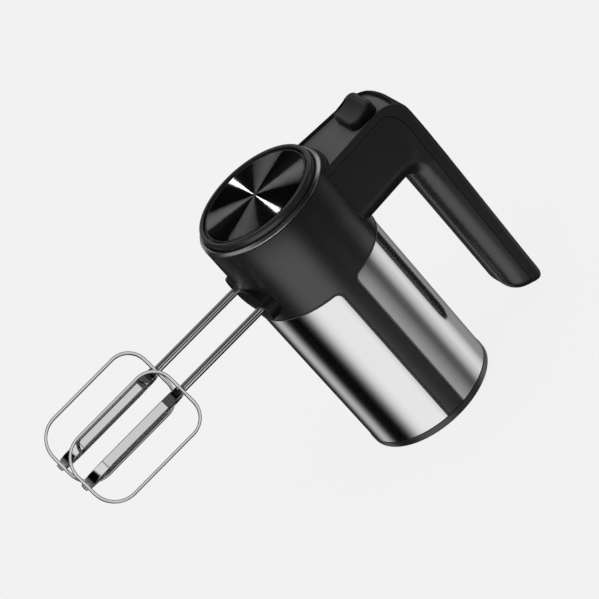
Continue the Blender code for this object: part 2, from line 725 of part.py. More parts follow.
worm = worm_skin("worm")
keep(worm, rod("worm_length", 9.0, WORM_Z[0], WORM_Z[1], 24, into=CUTTERS))
join(worm, rod("worm_journal", 2.6, WORM_Z[1] - 1.5, 160.0, 24, into=CUTTERS))
journal_bore = 2.6 + RUN
end_seat = [(6.0, 160.0), (6.0, 155.7), (7.5, 155.7), (7.5, 153.2)]
end_seat += [(journal_bore, 153.2), (journal_bore, 160.0)]
turned("worm_end_bearing", end_seat)

for side, x, first in (("left", 1, 0.5), ("right", -1, 0.0)):
    rings = []
    for y in (-GEAR_HALF, 0.0, GEAR_HALF):
        twist = y * LEAD / (2 * math.pi * WORM_PITCH_R) / GEAR_PITCH_R
        ring = []
        for i in range(TEETH):
            # Angles run about +Y from the side that faces the worm.
            middle = 2 * math.pi * (i + first) / TEETH + twist
            tip_r, root_r = GEAR_PITCH_R + ADDENDUM, GEAR_PITCH_R - DEDENDUM
            tip_half = (LEAD / 4 - BACKLASH - ADDENDUM * PRESSURE) / tip_r
            root_half = (LEAD / 4 - BACKLASH + DEDENDUM * PRESSURE) / root_r
            for r, offset in ((root_r, -root_half), (tip_r, -tip_half), (tip_r, tip_half), (root_r, root_half)):
                turn = middle + offset
                ring.append((-x * r * math.cos(turn), y, x * r * math.sin(turn)))
        rings.append(ring)
    gear = loft("worm_gear_" + side, rings, at=(x * SHAFT_X, 0, SHAFT_Z))
    axis = (x * SHAFT_X, 0, SHAFT_Z)
    cut(gear, rod("gear_bore_" + side, SLEEVE_R + GAP, -10.0, 10.0, 24, axis, "Y", CUTTERS))
    bush("drive_sleeve_" + side, SHAFT_R + RUN, SLEEVE_R, -9.6, -BOSS_Y - 0.5, 20, axis, "-Y")
    seat = [(7.0, 30.0), (7.0, 27.2), (8.6, 27.2), (8.6, 26.0), (SLEEVE_R + RUN, 26.0), (SLEEVE_R + RUN, 30.0)]
    turned("sleeve_bush_" + side, seat, 20, axis, "-Y")
    head, neck = PIN_HEAD_Y[1], PIN_HEAD_Y[0]
    pin = [(0, head), (4.2, head), (4.2, neck), (2.4, neck), (2.4, 4.3), (0, 4.3)]
    turned("push_pin_" + side, pin, 20, axis, "Y")

gear_box = box("gear_box", (-38.6, BOX_FRONT, BOX_LOW), (38.6, BOX_BACK, BOX_HIGH))
keep(gear_box, upper_round)
hollow_low, hollow_high = (-36.8, BOX_FRONT + 2.5, BOX_LOW + 2.0), (36.8, 20.0, BOX_HIGH - 2.0)
box_hollow = box("gear_box_hollow", hollow_low, hollow_high, into=CUTTERS)
keep(box_hollow, rod("gear_box_round", COLLAR_R - SHELL_WALL - 2.4, 100.0, 180.0, BODY_STEPS, into=CUTTERS))
cut(gear_box, box_hollow)
cut(gear_box, rod("box_low_hole", 6.4, 110.0, 125.0, 24, into=CUTTERS))
cut(gear_box, rod("box_top_hole", 6.0 + GAP, 150.0, 165.0, 24, into=CUTTERS))
gear_cover = box("gear_cover", (-38.6, COVER_Y[0], BOX_LOW), (38.6, COVER_Y[1], BOX_HIGH))
keep(gear_cover, upper_round)
for side, x in (("left", SHAFT_X), ("right", -SHAFT_X)):
    axis = (x, 0, SHAFT_Z)
    cut(gear_box, rod("bush_hole_" + side, 7.0 + GAP, 20.0, 40.0, 20, axis, "-Y", CUTTERS))
    cut(gear_cover, rod("cover_hole_" + side, SLEEVE_R + RUN, 0.0, 20.0, 20, axis, "Y", CUTTERS))


# ---------------------------------------------------------------- beaters

def loop_rings(top, end, half):
    """A flat strip bent into a rounded rectangle; heights are distances down the beater's axis."""
    t = STRIP_T
    path = []
    for sy, level, radius in ((1, end, LOOP_CORNER_END), (-1, top, LOOP_CORNER_TOP)):
        corners = ((1, -1) if sy > 0 else (-1, 1))
        for side in corners:
            centre = (side * (half - radius), level - sy * radius)
            if sy > 0:
                start, stop = (0, 90) if side > 0 else (90, 180)
            else:
                start, stop = (180, 270) if side < 0 else (270, 360)
            for i in range(7):
                turn = math.radians(start + (stop - start) * i / 6)
                path.append((centre, radius, math.cos(turn), math.sin(turn)))
    rings = []
    for centre, radius, c, s in path:
        ring = []
        for r, v in ((radius, -1), (radius, 1), (radius - t, 1), (radius - t, -1)):
            ring.append((centre[0] + r * c, -(centre[1] + r * s), v * STRIP_W / 2))
        rings.append(ring)
    return rings


for side, x in (("left", 1), ("right", -1)):
    axis = (x * SHAFT_X, 0, SHAFT_Z)
    inner = STRIP_T + GAP
    top, end = -LOOP_TOP, -LOOP_END
    hole = rod("loop_hole_" + side, 1.8, top - 10, end + 10, 12, axis, "-Y", CUTTERS)
    wide = loft("beater_loop_wide_" + side, loop_rings(top, end, LOOP_R), True, axis)
    wide.rotation_euler = (0, -LOOP_ANGLE, 0)
    cross = loft("beater_loop_cross_" + side, loop_rings(top + inner, end - inner, LOOP_R), True, axis)
    cross.rotation_euler = (0, -LOOP_ANGLE - math.pi / 2, 0)
    cut(wide, hole)
    cut(cross, hole)
    low = top + 2 * STRIP_T + 2 * GAP
    shaft = [
        (0, low + 1.0),
        (2.0, low + 1.0),
        (2.6, low + 0.5),
        (2.6, low),
        (1.5, low),
        (1.5, top - GAP),
        (SHAFT_R, top - GAP),
        (SHAFT_R, -3.6),
        (SHAFT_R - 0.6, -4.0),
        (0, -4.0),
    ]
    turned("beater_shaft_" + side, shaft, 20, axis, "-Y")
    high = end - 2 * STRIP_T - 2 * GAP
    rivet = [
        (0, end + 1.5),
        (1.8, end + 1.3),
        (3.0, end + GAP),
        (1.5, end + GAP),
        (1.5, high),
        (2.6, high),
        (2.0, high - 0.9),
        (0, high - 0.9),
    ]
    turned("beater_rivet_" + side, rivet, 12, axis, "-Y")


# ---------------------------------------------------------------- finishes

BLACK = ("black_plastic", (0.012, 0.012, 0.013), 0.5, 0.0)
GLOSS = ("gloss_black", (0.008, 0.008, 0.008), 0.2, 0.0)
GREY = ("inlay_grey", (0.08, 0.08, 0.08), 0.45, 0.0)
STEEL = ("brushed_steel", (0.6, 0.6, 0.58), 0.3, 1.0)
CHROME = ("chrome", (0.75, 0.75, 0.75), 0.12, 1.0)
SATIN = ("satin_ring", (0.5, 0.5, 0.5), 0.35, 1.0)
IRON = ("core_iron", (0.2, 0.2, 0.21), 0.5, 1.0)
BEARING = ("bearing_bronze", (0.45, 0.3, 0.14), 0.4, 1.0)
COPPER = ("copper_wire", (0.6, 0.26, 0.12), 0.35, 1.0)
BRASS = ("brass", (0.6, 0.45, 0.18), 0.35, 1.0)
NYLON = ("white_nylon", (0.7, 0.68, 0.6), 0.45, 0.0)
CARBON = ("carbon", (0.02, 0.02, 0.022), 0.6, 0.0)
CASING = ("switch_case", (0.1, 0.1, 0.12), 0.5, 0.0)
LEAD_SLEEVE = ("lead_sleeve", (0.3, 0.12, 0.05), 0.5, 0.0)

FINISHES = {
    "body_shell": BLACK, "panel_front": STEEL, "panel_rear": STEEL, "shoulder_ring": SATIN,
    "rim_cap": GLOSS, "disc_insert": GLOSS, "heel_cap": BLACK, "heel_screw_front": IRON,
    "heel_screw_rear": IRON, "beater_boss": GLOSS, "handle_spine": BLACK, "handle_shell": BLACK,
    "handle_inlay": GREY, "cord_gland": BLACK, "speed_slide": BLACK, "eject_button": GREY,
    "speed_carriage": NYLON, "contact_slider": BRASS, "switch_body": CASING, "ejector_yoke": NYLON,
    "lead_live": LEAD_SLEEVE, "lead_neutral": LEAD_SLEEVE, "lower_bracket": IRON, "upper_bracket": IRON,
    "lower_bearing": BEARING, "upper_bearing": BEARING, "field_core": IRON, "field_coil_left": COPPER,
    "field_coil_right": COPPER, "brush_holder_front": BRASS, "brush_holder_rear": BRASS,
    "brush_front": CARBON, "brush_rear": CARBON, "armature_shaft": IRON, "commutator": COPPER,
    "winding_lower": COPPER, "winding_upper": COPPER, "armature_core": IRON, "fan": NYLON,
    "worm": IRON, "worm_end_bearing": BEARING, "gear_box": CASING, "gear_cover": CASING,
}
for side in ("left", "right"):
    FINISHES["worm_gear_" + side] = NYLON
    FINISHES["drive_sleeve_" + side] = IRON
    FINISHES["sleeve_bush_" + side] = BEARING
    FINISHES["push_pin_" + side] = IRON
    for piece in ("shaft", "loop_wide", "loop_cross", "rivet"):
        FINISHES["beater_%s_%s" % (piece, side)] = CHROME

for obj in PARTS.objects:
    finish, colour, roughness, metallic = FINISHES[obj.name]
    material = bpy.data.materials.new(obj.name)
    material.use_nodes = True
    shader = material.node_tree.nodes["Principled BSDF"]
    shader.inputs["Base Color"].default_value = colour + (1.0,)
    shader.inputs["Roughness"].default_value = roughness
    shader.inputs["Metallic"].default_value = metallic
    material.diffuse_color = colour + (1.0,)
    obj.data.materials.append(material)
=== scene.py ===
"""A hand mixer's looks: smooth shells, trim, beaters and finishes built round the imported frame.

Sizes are in millimetres in the code; MM turns them into metres where a mesh is made.
+Z is up along the body, +Y points to the handle and -Y along the beaters.
"""

import math
from itertools import product

import bmesh
import bpy
from mathutils import Matrix, Vector


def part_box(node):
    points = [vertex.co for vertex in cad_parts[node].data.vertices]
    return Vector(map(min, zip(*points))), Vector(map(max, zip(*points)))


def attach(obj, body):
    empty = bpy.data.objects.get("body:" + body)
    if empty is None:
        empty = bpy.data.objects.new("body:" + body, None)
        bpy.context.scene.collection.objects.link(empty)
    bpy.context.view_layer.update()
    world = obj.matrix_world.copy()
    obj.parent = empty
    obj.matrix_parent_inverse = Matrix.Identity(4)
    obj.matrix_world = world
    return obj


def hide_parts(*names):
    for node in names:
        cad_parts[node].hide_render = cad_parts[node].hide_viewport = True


bl_info = {
    "name": "Hand mixer",
    "version": (1, 0, 0),
    "blender": (4, 5, 0),
    "location": "3D View > Sidebar > Mixer",
    "description": "Builds a hand mixer's shells, beaters, finishes and studio round its frame",
    "category": "Object",
}

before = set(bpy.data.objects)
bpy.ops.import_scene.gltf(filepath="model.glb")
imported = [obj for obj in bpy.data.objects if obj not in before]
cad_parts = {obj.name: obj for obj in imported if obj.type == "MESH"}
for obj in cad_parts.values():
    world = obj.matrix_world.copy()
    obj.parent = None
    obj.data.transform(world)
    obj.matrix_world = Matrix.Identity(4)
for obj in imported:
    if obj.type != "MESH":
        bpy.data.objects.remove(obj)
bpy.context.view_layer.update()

MM = 0.001


def cad(node):
    """Lowest and highest corner of a frame node, in mm."""
    low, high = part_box(node)
    return low / MM, high / MM


def linear(code):
    """A linear RGB colour from an sRGB hex code."""
    parts = [int(code[i:i + 2], 16) / 255 for i in (1, 3, 5)]
    return tuple(c / 12.92 if c <= 0.04045 else ((c + 0.055) / 1.055) ** 2.4 for c in parts)


# ---------------------------------------------------------------- sizes and colours

COLLAR_R = cad("body_shell")[1].x
SHELL_TOP = cad("body_shell")[1].z
PANEL_TOP = cad("panel_front")[1].z
BOSS_LOW, BOSS_HIGH = cad("beater_boss")
SHAFT_LOW, SHAFT_HIGH = cad("beater_shaft_left")
LOOP_LOW, LOOP_HIGH = cad("beater_loop_wide_left")
DISC_LOW, DISC_HIGH = cad("disc_insert")
CAP_TOP = cad("rim_cap")[1].z
SPINE_HIGH = cad("handle_spine")[1]
SLIDE_LOW, SLIDE_HIGH = cad("speed_slide")
SHAFT_X = (SHAFT_LOW.x + SHAFT_HIGH.x) / 2
SHAFT_Z = (SHAFT_LOW.z + SHAFT_HIGH.z) / 2
LOOP_TOP, LOOP_END = -LOOP_HIGH.y, -LOOP_LOW.y


def size_prop(name, description, default, low, high):
    """A length property; its default and limits are given in mm."""
    return bpy.props.FloatProperty(
        name=name, description=description, default=default * MM,
        min=low * MM, max=high * MM, unit="LENGTH", precision=5,
    )


def colour_prop(name, description, code):
    """A colour property from an sRGB hex code."""
    return bpy.props.FloatVectorProperty(
        name=name, description=description, default=linear(code), subtype="COLOR", min=0, max=1,
    )


class MixerBody(bpy.types.PropertyGroup):
    """Sizes of the body shell, its panels and its foot"""

    base_radius: size_prop("Base radius", "Outer radius of the body at its foot", 44.4, 30, 60)
    strip_half: size_prop(
        "Strip half width", "Half the width of the black strip between the panels", 7.2, 3, 20)
    window_high: size_prop(
        "Panel head", "Height of the steel panels' upper edge", PANEL_TOP + 0.3, 60, 170)
    window_corner: size_prop("Panel corner", "Corner radius of the steel panels", 4.0, 1, 12)
    bead_radius: size_prop("Bead radius", "Radius of the bead round each panel", 0.42, 0.3, 2)
    bead_gap: size_prop("Bead gap", "Gap on either side of the bead", 0.42, 0.05, 1)
    ring_height: size_prop(
        "Foot ring height", "Height of the ring that the body stands on", 4.9, 3, 12)
    shell_wall: size_prop("Shell wall", "Wall thickness of the body shell", 2.2, 1, 4)
    turned_steps: bpy.props.IntProperty(
        name="Turning steps", description="Facets round each turned piece",
        default=192, min=48, max=512,
    )


class MixerHandle(bpy.types.PropertyGroup):
    """Sizes of the handle and of the inlay on its top"""

    corner_radius: size_prop(
        "Corner radius", "Outer radius where the neck turns into the grip", 19.5, 8, 30)
    rim: size_prop("Rim width", "Width of the rims beside the inlay", 1.5, 0.8, 4)
    inlay_sink: size_prop("Inlay depth", "How deep the inlay lies below the rims", 2.3, 0.5, 4)
    seam: size_prop("Seam width", "Width of the joint between the handle halves", 0.35, 0.1, 1)


class MixerBeaters(bpy.types.PropertyGroup):
    """Sizes of the two beaters"""

    loop_half: size_prop("Loop half width", "Half the width of each blade loop", 24.8, 15, 35)
    strip_thickness: size_prop("Blade thickness", "Thickness of the blade strip", 1.9, 0.5, 3)
    strip_width: size_prop("Blade width", "Width of the blade strip", 6.2, 3, 12)
    shaft_radius: size_prop("Shaft radius", "Radius of each beater shaft", 2.5, 1.5, 4)
    turn: bpy.props.FloatProperty(
        name="Blade turn", description="Angle of the wide loops about the beater axis",
        default=math.radians(59), min=-math.pi, max=math.pi, subtype="ANGLE",
    )


class MixerColours(bpy.types.PropertyGroup):
    """Colours of the finishes that show"""

    satin_black: colour_prop("Satin black", "Moulded shell plastic", "#171718")
    deep_black: colour_prop("Deep black", "Plastic of the boss and the speed slide", "#0b0b0c")
    inlay_grey: colour_prop("Inlay grey", "Soft-touch inlay on the handle's top", "#4e4e4f")
    disc_black: colour_prop("Disc black", "Spun anodised disc in the top", "#2a2a2a")
    steel: colour_prop("Steel", "Body panels", "#cacaca")
    chrome: colour_prop("Chrome", "Beaters", "#d8d8d8")
    ring: colour_prop("Ring", "Satin ring under the cap", "#a9a9a9")


class MixerStudio(bpy.types.PropertyGroup):
    """The studio round the mixer"""

    backdrop: colour_prop("Backdrop", "Floor and background", "#f2f2f2")
    ambient: bpy.props.FloatProperty(
        name="Ambient", description="Even light from all round", default=0.92, min=0, max=2,
    )


GROUPS = {
    "mixer_body": MixerBody,
    "mixer_handle": MixerHandle,
    "mixer_beaters": MixerBeaters,
    "mixer_colours": MixerColours,
    "mixer_studio": MixerStudio,
}


# ---------------------------------------------------------------- nodes and finishes

def add_node(tree, kind, links=None, **settings):
    """One node with its settings; each input gets a value, a socket or a node's first output."""
    node = tree.nodes.new(kind)
    for key, value in settings.items():
        setattr(node, key, value)
    for key, value in (links or {}).items():
        if isinstance(value, bpy.types.Node):
            value = value.outputs[0]
        if isinstance(value, bpy.types.NodeSocket):
            tree.links.new(value, node.inputs[key])
        else:
            node.inputs[key].default_value = value
    return node


def new_material(name):
    """A material that uses nodes, and its tree."""
    material = bpy.data.materials.new(name)
    material.use_nodes = True
    return material, material.node_tree


def tinted(colour, factor):
    """A colour made darker or lighter, with its alpha."""
    return [min(1, c * factor) for c in colour] + [1]


def finish(name, colour, roughness, metallic=0.0, cell=0.4, relief=0.1, uneven=0.03, shade=0.06,
           detail=3.0, **sockets):
    """A procedural finish: a grain of `cell` mm, the same or one size for each axis, drives its
    relief and roughness, and a broad one its colour."""
    material, tree = new_material(name)
    shader = tree.nodes["Principled BSDF"]
    sizes = cell if isinstance(cell, tuple) else (cell, cell, cell)
    place = add_node(tree, "ShaderNodeTexCoord").outputs["Object"]
    scaled = add_node(
        tree, "ShaderNodeMapping", {"Vector": place, "Scale": [1 / (c * MM) for c in sizes]})
    grain = add_node(
        tree, "ShaderNodeTexNoise",
        {"Vector": scaled, "Scale": 1.0, "Detail": detail, "Roughness": 0.6}).outputs["Fac"]
    broad = add_node(
        tree, "ShaderNodeTexNoise", {"Vector": place, "Scale": 40.0, "Detail": 2.0}).outputs["Fac"]
    spread = add_node(
        tree, "ShaderNodeMapRange",
        {"Value": grain, "From Min": 0.3, "From Max": 0.7,
         "To Min": roughness - uneven, "To Max": roughness + uneven})
    tree.links.new(spread.outputs[0], shader.inputs["Roughness"])
    tone = add_node(
        tree, "ShaderNodeMixRGB",
        {"Fac": broad, "Color1": tinted(colour, 1 - shade), "Color2": tinted(colour, 1 + shade)})
    tree.links.new(tone.outputs[0], shader.inputs["Base Color"])
    if relief:
        bump = add_node(
            tree, "ShaderNodeBump",
            {"Height": grain, "Strength": relief, "Distance": min(sizes) * MM * 0.2})
        tree.links.new(bump.outputs[0], shader.inputs["Normal"])
    shader.inputs["Metallic"].default_value = metallic
    for key, value in sockets.items():
        label = key.replace("_", " ").title().replace("Ior", "IOR")
        shader.inputs[label].default_value = value
    return material


def spun_finish(name, colour):
    """Aluminium spun to fine rings, then anodised: its highlights fan out from the middle."""
    material, tree = new_material(name)
    tree.nodes.remove(tree.nodes["Principled BSDF"])
    place = add_node(tree, "ShaderNodeTexCoord").outputs["Object"]
    across = add_node(tree, "ShaderNodeVectorMath", {0: place, 1: (1, 1, 0)}, operation="MULTIPLY")
    radius = add_node(tree, "ShaderNodeVectorMath", {0: across}, operation="LENGTH")
    # The turning marks are 0.05 mm apart, drawn here at 0.6 mm so that they show.
    pitch = add_node(
        tree, "ShaderNodeMath", {0: radius.outputs["Value"], 1: 1 / (0.6 * MM)},
        operation="MULTIPLY")
    marks = add_node(
        tree, "ShaderNodeTexNoise", {"W": pitch, "Scale": 1.0, "Detail": 2.0},
        noise_dimensions="1D")
    tone = add_node(
        tree, "ShaderNodeMixRGB",
        {"Fac": marks, "Color1": tinted(colour, 0.75), "Color2": tinted(colour, 1.25)})
    # The marks run round Z, so light spreads along each radius.
    way = add_node(tree, "ShaderNodeTangent", direction_type="RADIAL", axis="Z")
    shine = add_node(
        tree, "ShaderNodeBsdfAnisotropic",
        {"Color": tone, "Roughness": 0.24, "Anisotropy": 0.93, "Tangent": way})
    tree.links.new(shine.outputs[0], tree.nodes["Material Output"].inputs[0])
    return material


MATERIALS = {}


def make_finishes():
    """Every finish on the mixer, by the real material's name."""
    tones = bpy.context.scene.mixer_colours
    MATERIALS.update(
        # Spark-eroded ABS: a fine even grain breaks the highlights into a soft sheen.
        satin_abs=finish(
            "satin moulded ABS", tones.satin_black, 0.28, cell=0.5, relief=0.04,
            specular_ior_level=0.68),
        # The handle's back is eroded deeper, so that it grips: almost no sheen.
        matte_abs=finish(
            "coarse-eroded ABS", linear("#1c1c1d"), 0.5, cell=0.6, specular_ior_level=0.25),
        # The bead is coloured a lighter grey than the shell: a painted highlight, the thin pale
        # line of light along each panel's edge.
        bead_abs=finish("bead ABS, painted highlight grey", linear("#3c3c3d"), 0.36, cell=2.0, relief=0.0),
        # The cap's rim has a closer mould finish than the shell: a tighter highlight.
        rim_abs=finish("fine-moulded ABS", linear("#1e1e1f"), 0.24, cell=0.5, relief=0.03),
        # The boss and the slide come plain off their moulds: deep black, with a faint sheen.
        boss_abs=finish(
            "plain moulded ABS", tones.deep_black, 0.36, cell=2.0, relief=0.02,
            specular_ior_level=0.22),
        # The thumb pad is eroded for grip: duller than the shell round it.
        button_abs=finish("eroded pad ABS", linear("#1e1e1f"), 0.42, cell=0.5, relief=0.04),
        # Soft-touch paint: no highlight edge at all, only a pale sheen.
        soft_touch=finish("soft-touch painted ABS", tones.inlay_grey, 0.55, relief=0.12),
        # Cold-rolled stainless, polished along the body: reflections smear slightly round it.
        steel=finish(
            "polished stainless steel", tones.steel, 0.11, 1.0, cell=(0.35, 0.35, 60.0),
            relief=0.02, uneven=0.02, shade=0.02),
        # Satin nickel on a turned ring: fine level lines under a soft, wide highlight.
        nickel=finish(
            "satin nickel plating", tones.ring, 0.30, 1.0, cell=(2.0, 2.0, 0.2), relief=0.02),
        # Chromium plate: mirror bright, with no grain of its own.
        chrome=finish(
            "bright chromium plate", tones.chrome, 0.06, 1.0, cell=4.0, relief=0.0, uneven=0.01,
            shade=0.01, detail=1.0),
        # Unfilled nylon: milky cream, with a waxy sheen.
        nylon=finish("natural nylon 66", linear("#e4dfd0"), 0.42, cell=1.0, relief=0.05),
        # Centreless-ground steel: bright, with fine marks round the axis.
        bearing_steel=finish(
            "ground bearing steel", linear("#a8a9ac"), 0.25, 1.0, cell=(0.3, 0.3, 6.0),
            relief=0.03),
        # Bright zinc on sheet steel: pale grey and slightly cloudy.
        zinc=finish(
            "zinc-plated sheet steel", linear("#b3b6b8"), 0.38, 1.0, cell=2.0, relief=0.04,
            shade=0.1),
        # Stamped laminations: thin dark level lines, one for each sheet.
        lamination=finish(
            "stacked electrical steel", linear("#6d7074"), 0.45, 1.0, cell=(20.0, 20.0, 0.5),
            relief=0.5, shade=0.1),
        # Enamelled wire, 0.45 mm: orange turns with a varnished shine.
        copper=finish(
            "enamelled copper wire", linear("#b4602f"), 0.32, 1.0, cell=(30.0, 30.0, 0.45),
            relief=0.6),
        # Pressed and sintered powder: a dull, open brown grain.
        bronze=finish("sintered bronze", linear("#9b7440"), 0.5, 1.0, cell=0.3, relief=0.2),
        # Pressed carbon: dark and dusty, with no shine.
        carbon=finish("brush carbon", linear("#242426"), 0.6, cell=0.5, relief=0.2),
        # Rolled strip: yellow, with marks along the rolling.
        brass=finish(
            "rolled brass", linear("#c8a352"), 0.3, 1.0, cell=(3.0, 0.4, 3.0), relief=0.03),
        # Glass fibres lift to the surface of the moulding: a dry grey mottle.
        case=finish(
            "glass-filled nylon case", linear("#34363a"), 0.5, cell=0.8, relief=0.15),
        # Extruded PVC: an even colour with a soft shine.
        sleeve=finish("PVC lead sleeve", linear("#8a2f1d"), 0.4, cell=2.0, relief=0.03),
        spun=spun_finish("spun black anodised aluminium", tones.disc_black),
    )


# ---------------------------------------------------------------- making meshes

def new_object(name, points, edges, faces):
    """An object at the origin, from points in mm."""
    mesh = bpy.data.meshes.new(name)
    mesh.from_pydata([Vector(p) * MM for p in points], edges, faces)
    obj = bpy.data.objects.new(name, mesh)
    bpy.context.scene.collection.objects.link(obj)
    return obj


def tidy(obj, smooth_angle=30.0, weld=1e-6, split=False):
    """Merges doubles, turns faces outwards and marks edges steeper than the angle as sharp."""
    work = bmesh.new()
    work.from_mesh(obj.data)
    bmesh.ops.remove_doubles(work, verts=work.verts, dist=weld)
    bmesh.ops.recalc_face_normals(work, faces=work.faces)
    if split:
        bmesh.ops.triangulate(work, faces=work.faces)
    work.to_mesh(obj.data)
    work.free()
    obj.data.shade_smooth()
    obj.data.set_sharp_from_angle(angle=math.radians(smooth_angle))


def piece(name, points, faces, finish_name, smooth_angle=30.0, split=False):
    """A finished piece at the origin, from points in mm; split makes all its faces triangles."""
    obj = new_object(name, points, [], faces)
    obj.data.materials.append(MATERIALS[finish_name])
    tidy(obj, smooth_angle, split=split)
    return obj


def loft(name, rings, finish_name, around=False, **settings):
    """Skins a row of rings of as many points each; the ends are capped unless it runs round."""
    count = len(rings[0])
    faces = []
    for i in range(len(rings) - (0 if around else 1)):
        here, there = i * count, (i + 1) % len(rings) * count
        for j in range(count):
            k = (j + 1) % count
            faces.append((here + j, here + k, there + k, there + j))
    if not around:
        faces.append(tuple(range(count))[::-1])
        faces.append(tuple((len(rings) - 1) * count + j for j in range(count)))
    return piece(name, [p for ring in rings for p in ring], faces, finish_name, **settings)


def evaluated_mesh(obj):
    """Turns a piece's modifiers into its plain mesh."""
    bpy.context.view_layer.update()
    graph = bpy.context.evaluated_depsgraph_get()
    mesh = bpy.data.meshes.new_from_object(obj.evaluated_get(graph), depsgraph=graph)
    old = obj.data
    obj.modifiers.clear()
    obj.data = mesh
    if old.users == 0:
        bpy.data.meshes.remove(old)
    return obj


def boolean(obj, operation, *cutters):
    """Cuts, joins or keeps what the cutters say, then removes them."""
    for cutter in cutters:
        step = obj.modifiers.new(cutter.name, "BOOLEAN")
        step.operation = operation
        step.solver = "EXACT"
        step.object = cutter
        evaluated_mesh(obj)
        bpy.data.objects.remove(cutter)
    return obj


def thicken(sheet, wall):
    """Gives an open sheet its wall, inwards."""
    step = sheet.modifiers.new("wall", "SOLIDIFY")
    step.thickness = wall
    step.offset = -1
    evaluated_mesh(sheet)


def weighted(obj):
    """Lets large flat faces decide the shading beside small curved ones."""
    step = obj.modifiers.new("normals", "WEIGHTED_NORMAL")
    step.keep_sharp = True
    step.weight = 80


def block(low, high):
    """A plain box used only as a cutter."""
    faces = [(0, 1, 3, 2), (4, 6, 7, 5), (0, 4, 5, 1), (2, 3, 7, 6), (0, 2, 6, 4), (1, 5, 7, 3)]
    return piece("cutter", list(product(*zip(low, high))), faces, "case")


def prism(outline, axis, low, high):
    """A straight cutter of an outline, given in the two other axes in order."""
    at = "XYZ".index(axis)
    rings = [[(*p[:at], level, *p[at:]) for p in outline] for level in (low, high)]
    return loft("cutter", rings, "case")


def arc(centre, radius, start, stop, steps):
    """Points on an arc, angles in degrees."""
    angles = [math.radians(start + (stop - start) * i / steps) for i in range(steps + 1)]
    return [(centre[0] + radius * math.cos(a), centre[1] + radius * math.sin(a)) for a in angles]


def obround(reach, level, radius, steps):
    """A slot's outline: half circles about (reach, level) and (-reach, level)."""
    right = arc((reach, level), radius, -90, 90, steps)
    return right + arc((-reach, level), radius, 90, 270, steps)


def rounded(corners, steps=5):
    """An outline whose corners (x, y, radius) are rounded off; radius 0 keeps a corner."""
    line = []
    for i, (x, y, radius) in enumerate(corners):
        here = Vector((x, y))
        if not radius:
            line.append((x, y))
            continue
        before = (Vector(corners[i - 1][:2]) - here).normalized()
        after = (Vector(corners[(i + 1) % len(corners)][:2]) - here).normalized()
        half = before.angle(after) / 2
        reach = radius / math.tan(half)
        start, end = here + before * reach, here + after * reach
        centre = here + (before + after).normalized() * radius / math.sin(half)
        a, b = start - centre, end - centre
        whole = a.angle(b)
        for j in range(steps + 1):
            t = j / steps
            mixed = (a * math.sin((1 - t) * whole) + b * math.sin(t * whole)) / math.sin(whole)
            line.append(tuple(centre + mixed))
    return line


# ---------------------------------------------------------------- geometry trees

def geometry_tree(name, **inputs):
    """An empty modifier tree with the named inputs, its input node and their identifiers."""
    tree = bpy.data.node_groups.new(name, "GeometryNodeTree")
    for way in ("INPUT", "OUTPUT"):
        tree.interface.new_socket("Geometry", in_out=way, socket_type="NodeSocketGeometry")
    ids = {}
    for label, kind in {**inputs, "Material": "NodeSocketMaterial"}.items():
        ids[label] = tree.interface.new_socket(
            label, in_out="INPUT", socket_type=kind).identifier
    return tree, add_node(tree, "NodeGroupInput"), ids


def close_tree(tree, geometry, given, angle=30.0):
    """Ends a tree: instances realised, sharp edges marked, finish set."""
    real = add_node(tree, "GeometryNodeRealizeInstances", {"Geometry": geometry})
    weld = add_node(tree, "GeometryNodeMergeByDistance", {"Geometry": real, "Distance": 1e-6})
    steep = add_node(tree, "GeometryNodeInputMeshEdgeAngle").outputs["Unsigned Angle"]
    soft = add_node(
        tree, "FunctionNodeCompare", {"A": steep, "B": math.radians(angle)},
        operation="LESS_THAN")
    faces = add_node(
        tree, "GeometryNodeSetShadeSmooth", {"Geometry": weld, "Shade Smooth": True},
        domain="FACE")
    edges = add_node(
        tree, "GeometryNodeSetShadeSmooth", {"Geometry": faces, "Shade Smooth": soft},
        domain="EDGE")
    dressed = add_node(
        tree, "GeometryNodeSetMaterial",
        {"Geometry": edges, "Material": given.outputs["Material"]})
    add_node(tree, "NodeGroupOutput", {"Geometry": dressed})


def turning_tree():
    """Turns a line of points in the XZ plane about Z: one column of a grid for each step."""
    tree, given, ids = geometry_tree("turned", Steps="NodeSocketInt")
    line, steps = given.outputs["Geometry"], given.outputs["Steps"]
    size = add_node(
        tree, "GeometryNodeAttributeDomainSize", {"Geometry": line}, component="MESH")
    count = size.outputs["Point Count"]
    columns = add_node(tree, "ShaderNodeMath", {0: steps, 1: 1.0}, operation="ADD")
    grid = add_node(
        tree, "GeometryNodeMeshGrid", {"Vertices X": columns, "Vertices Y": count})
    index = add_node(tree, "GeometryNodeInputIndex")
    row = add_node(tree, "ShaderNodeMath", {0: index, 1: count}, operation="MODULO")
    share = add_node(tree, "ShaderNodeMath", {0: index, 1: count}, operation="DIVIDE")
    column = add_node(tree, "ShaderNodeMath", {0: share}, operation="FLOOR")
    part = add_node(tree, "ShaderNodeMath", {0: column, 1: steps}, operation="DIVIDE")
    angle = add_node(tree, "ShaderNodeMath", {0: part, 1: math.tau}, operation="MULTIPLY")
    place = add_node(tree, "GeometryNodeInputPosition")
    spot = add_node(
        tree, "GeometryNodeSampleIndex", {"Geometry": line, "Index": row},
        data_type="FLOAT_VECTOR", domain="POINT")
    tree.links.new(place.outputs[0], spot.inputs["Value"])
    swung = add_node(
        tree, "ShaderNodeVectorRotate", {"Vector": spot.outputs["Value"], "Angle": angle},
        rotation_type="Z_AXIS")
    moved = add_node(tree, "GeometryNodeSetPosition", {"Geometry": grid, "Position": swung})
    close_tree(tree, moved, given)
    return tree, ids


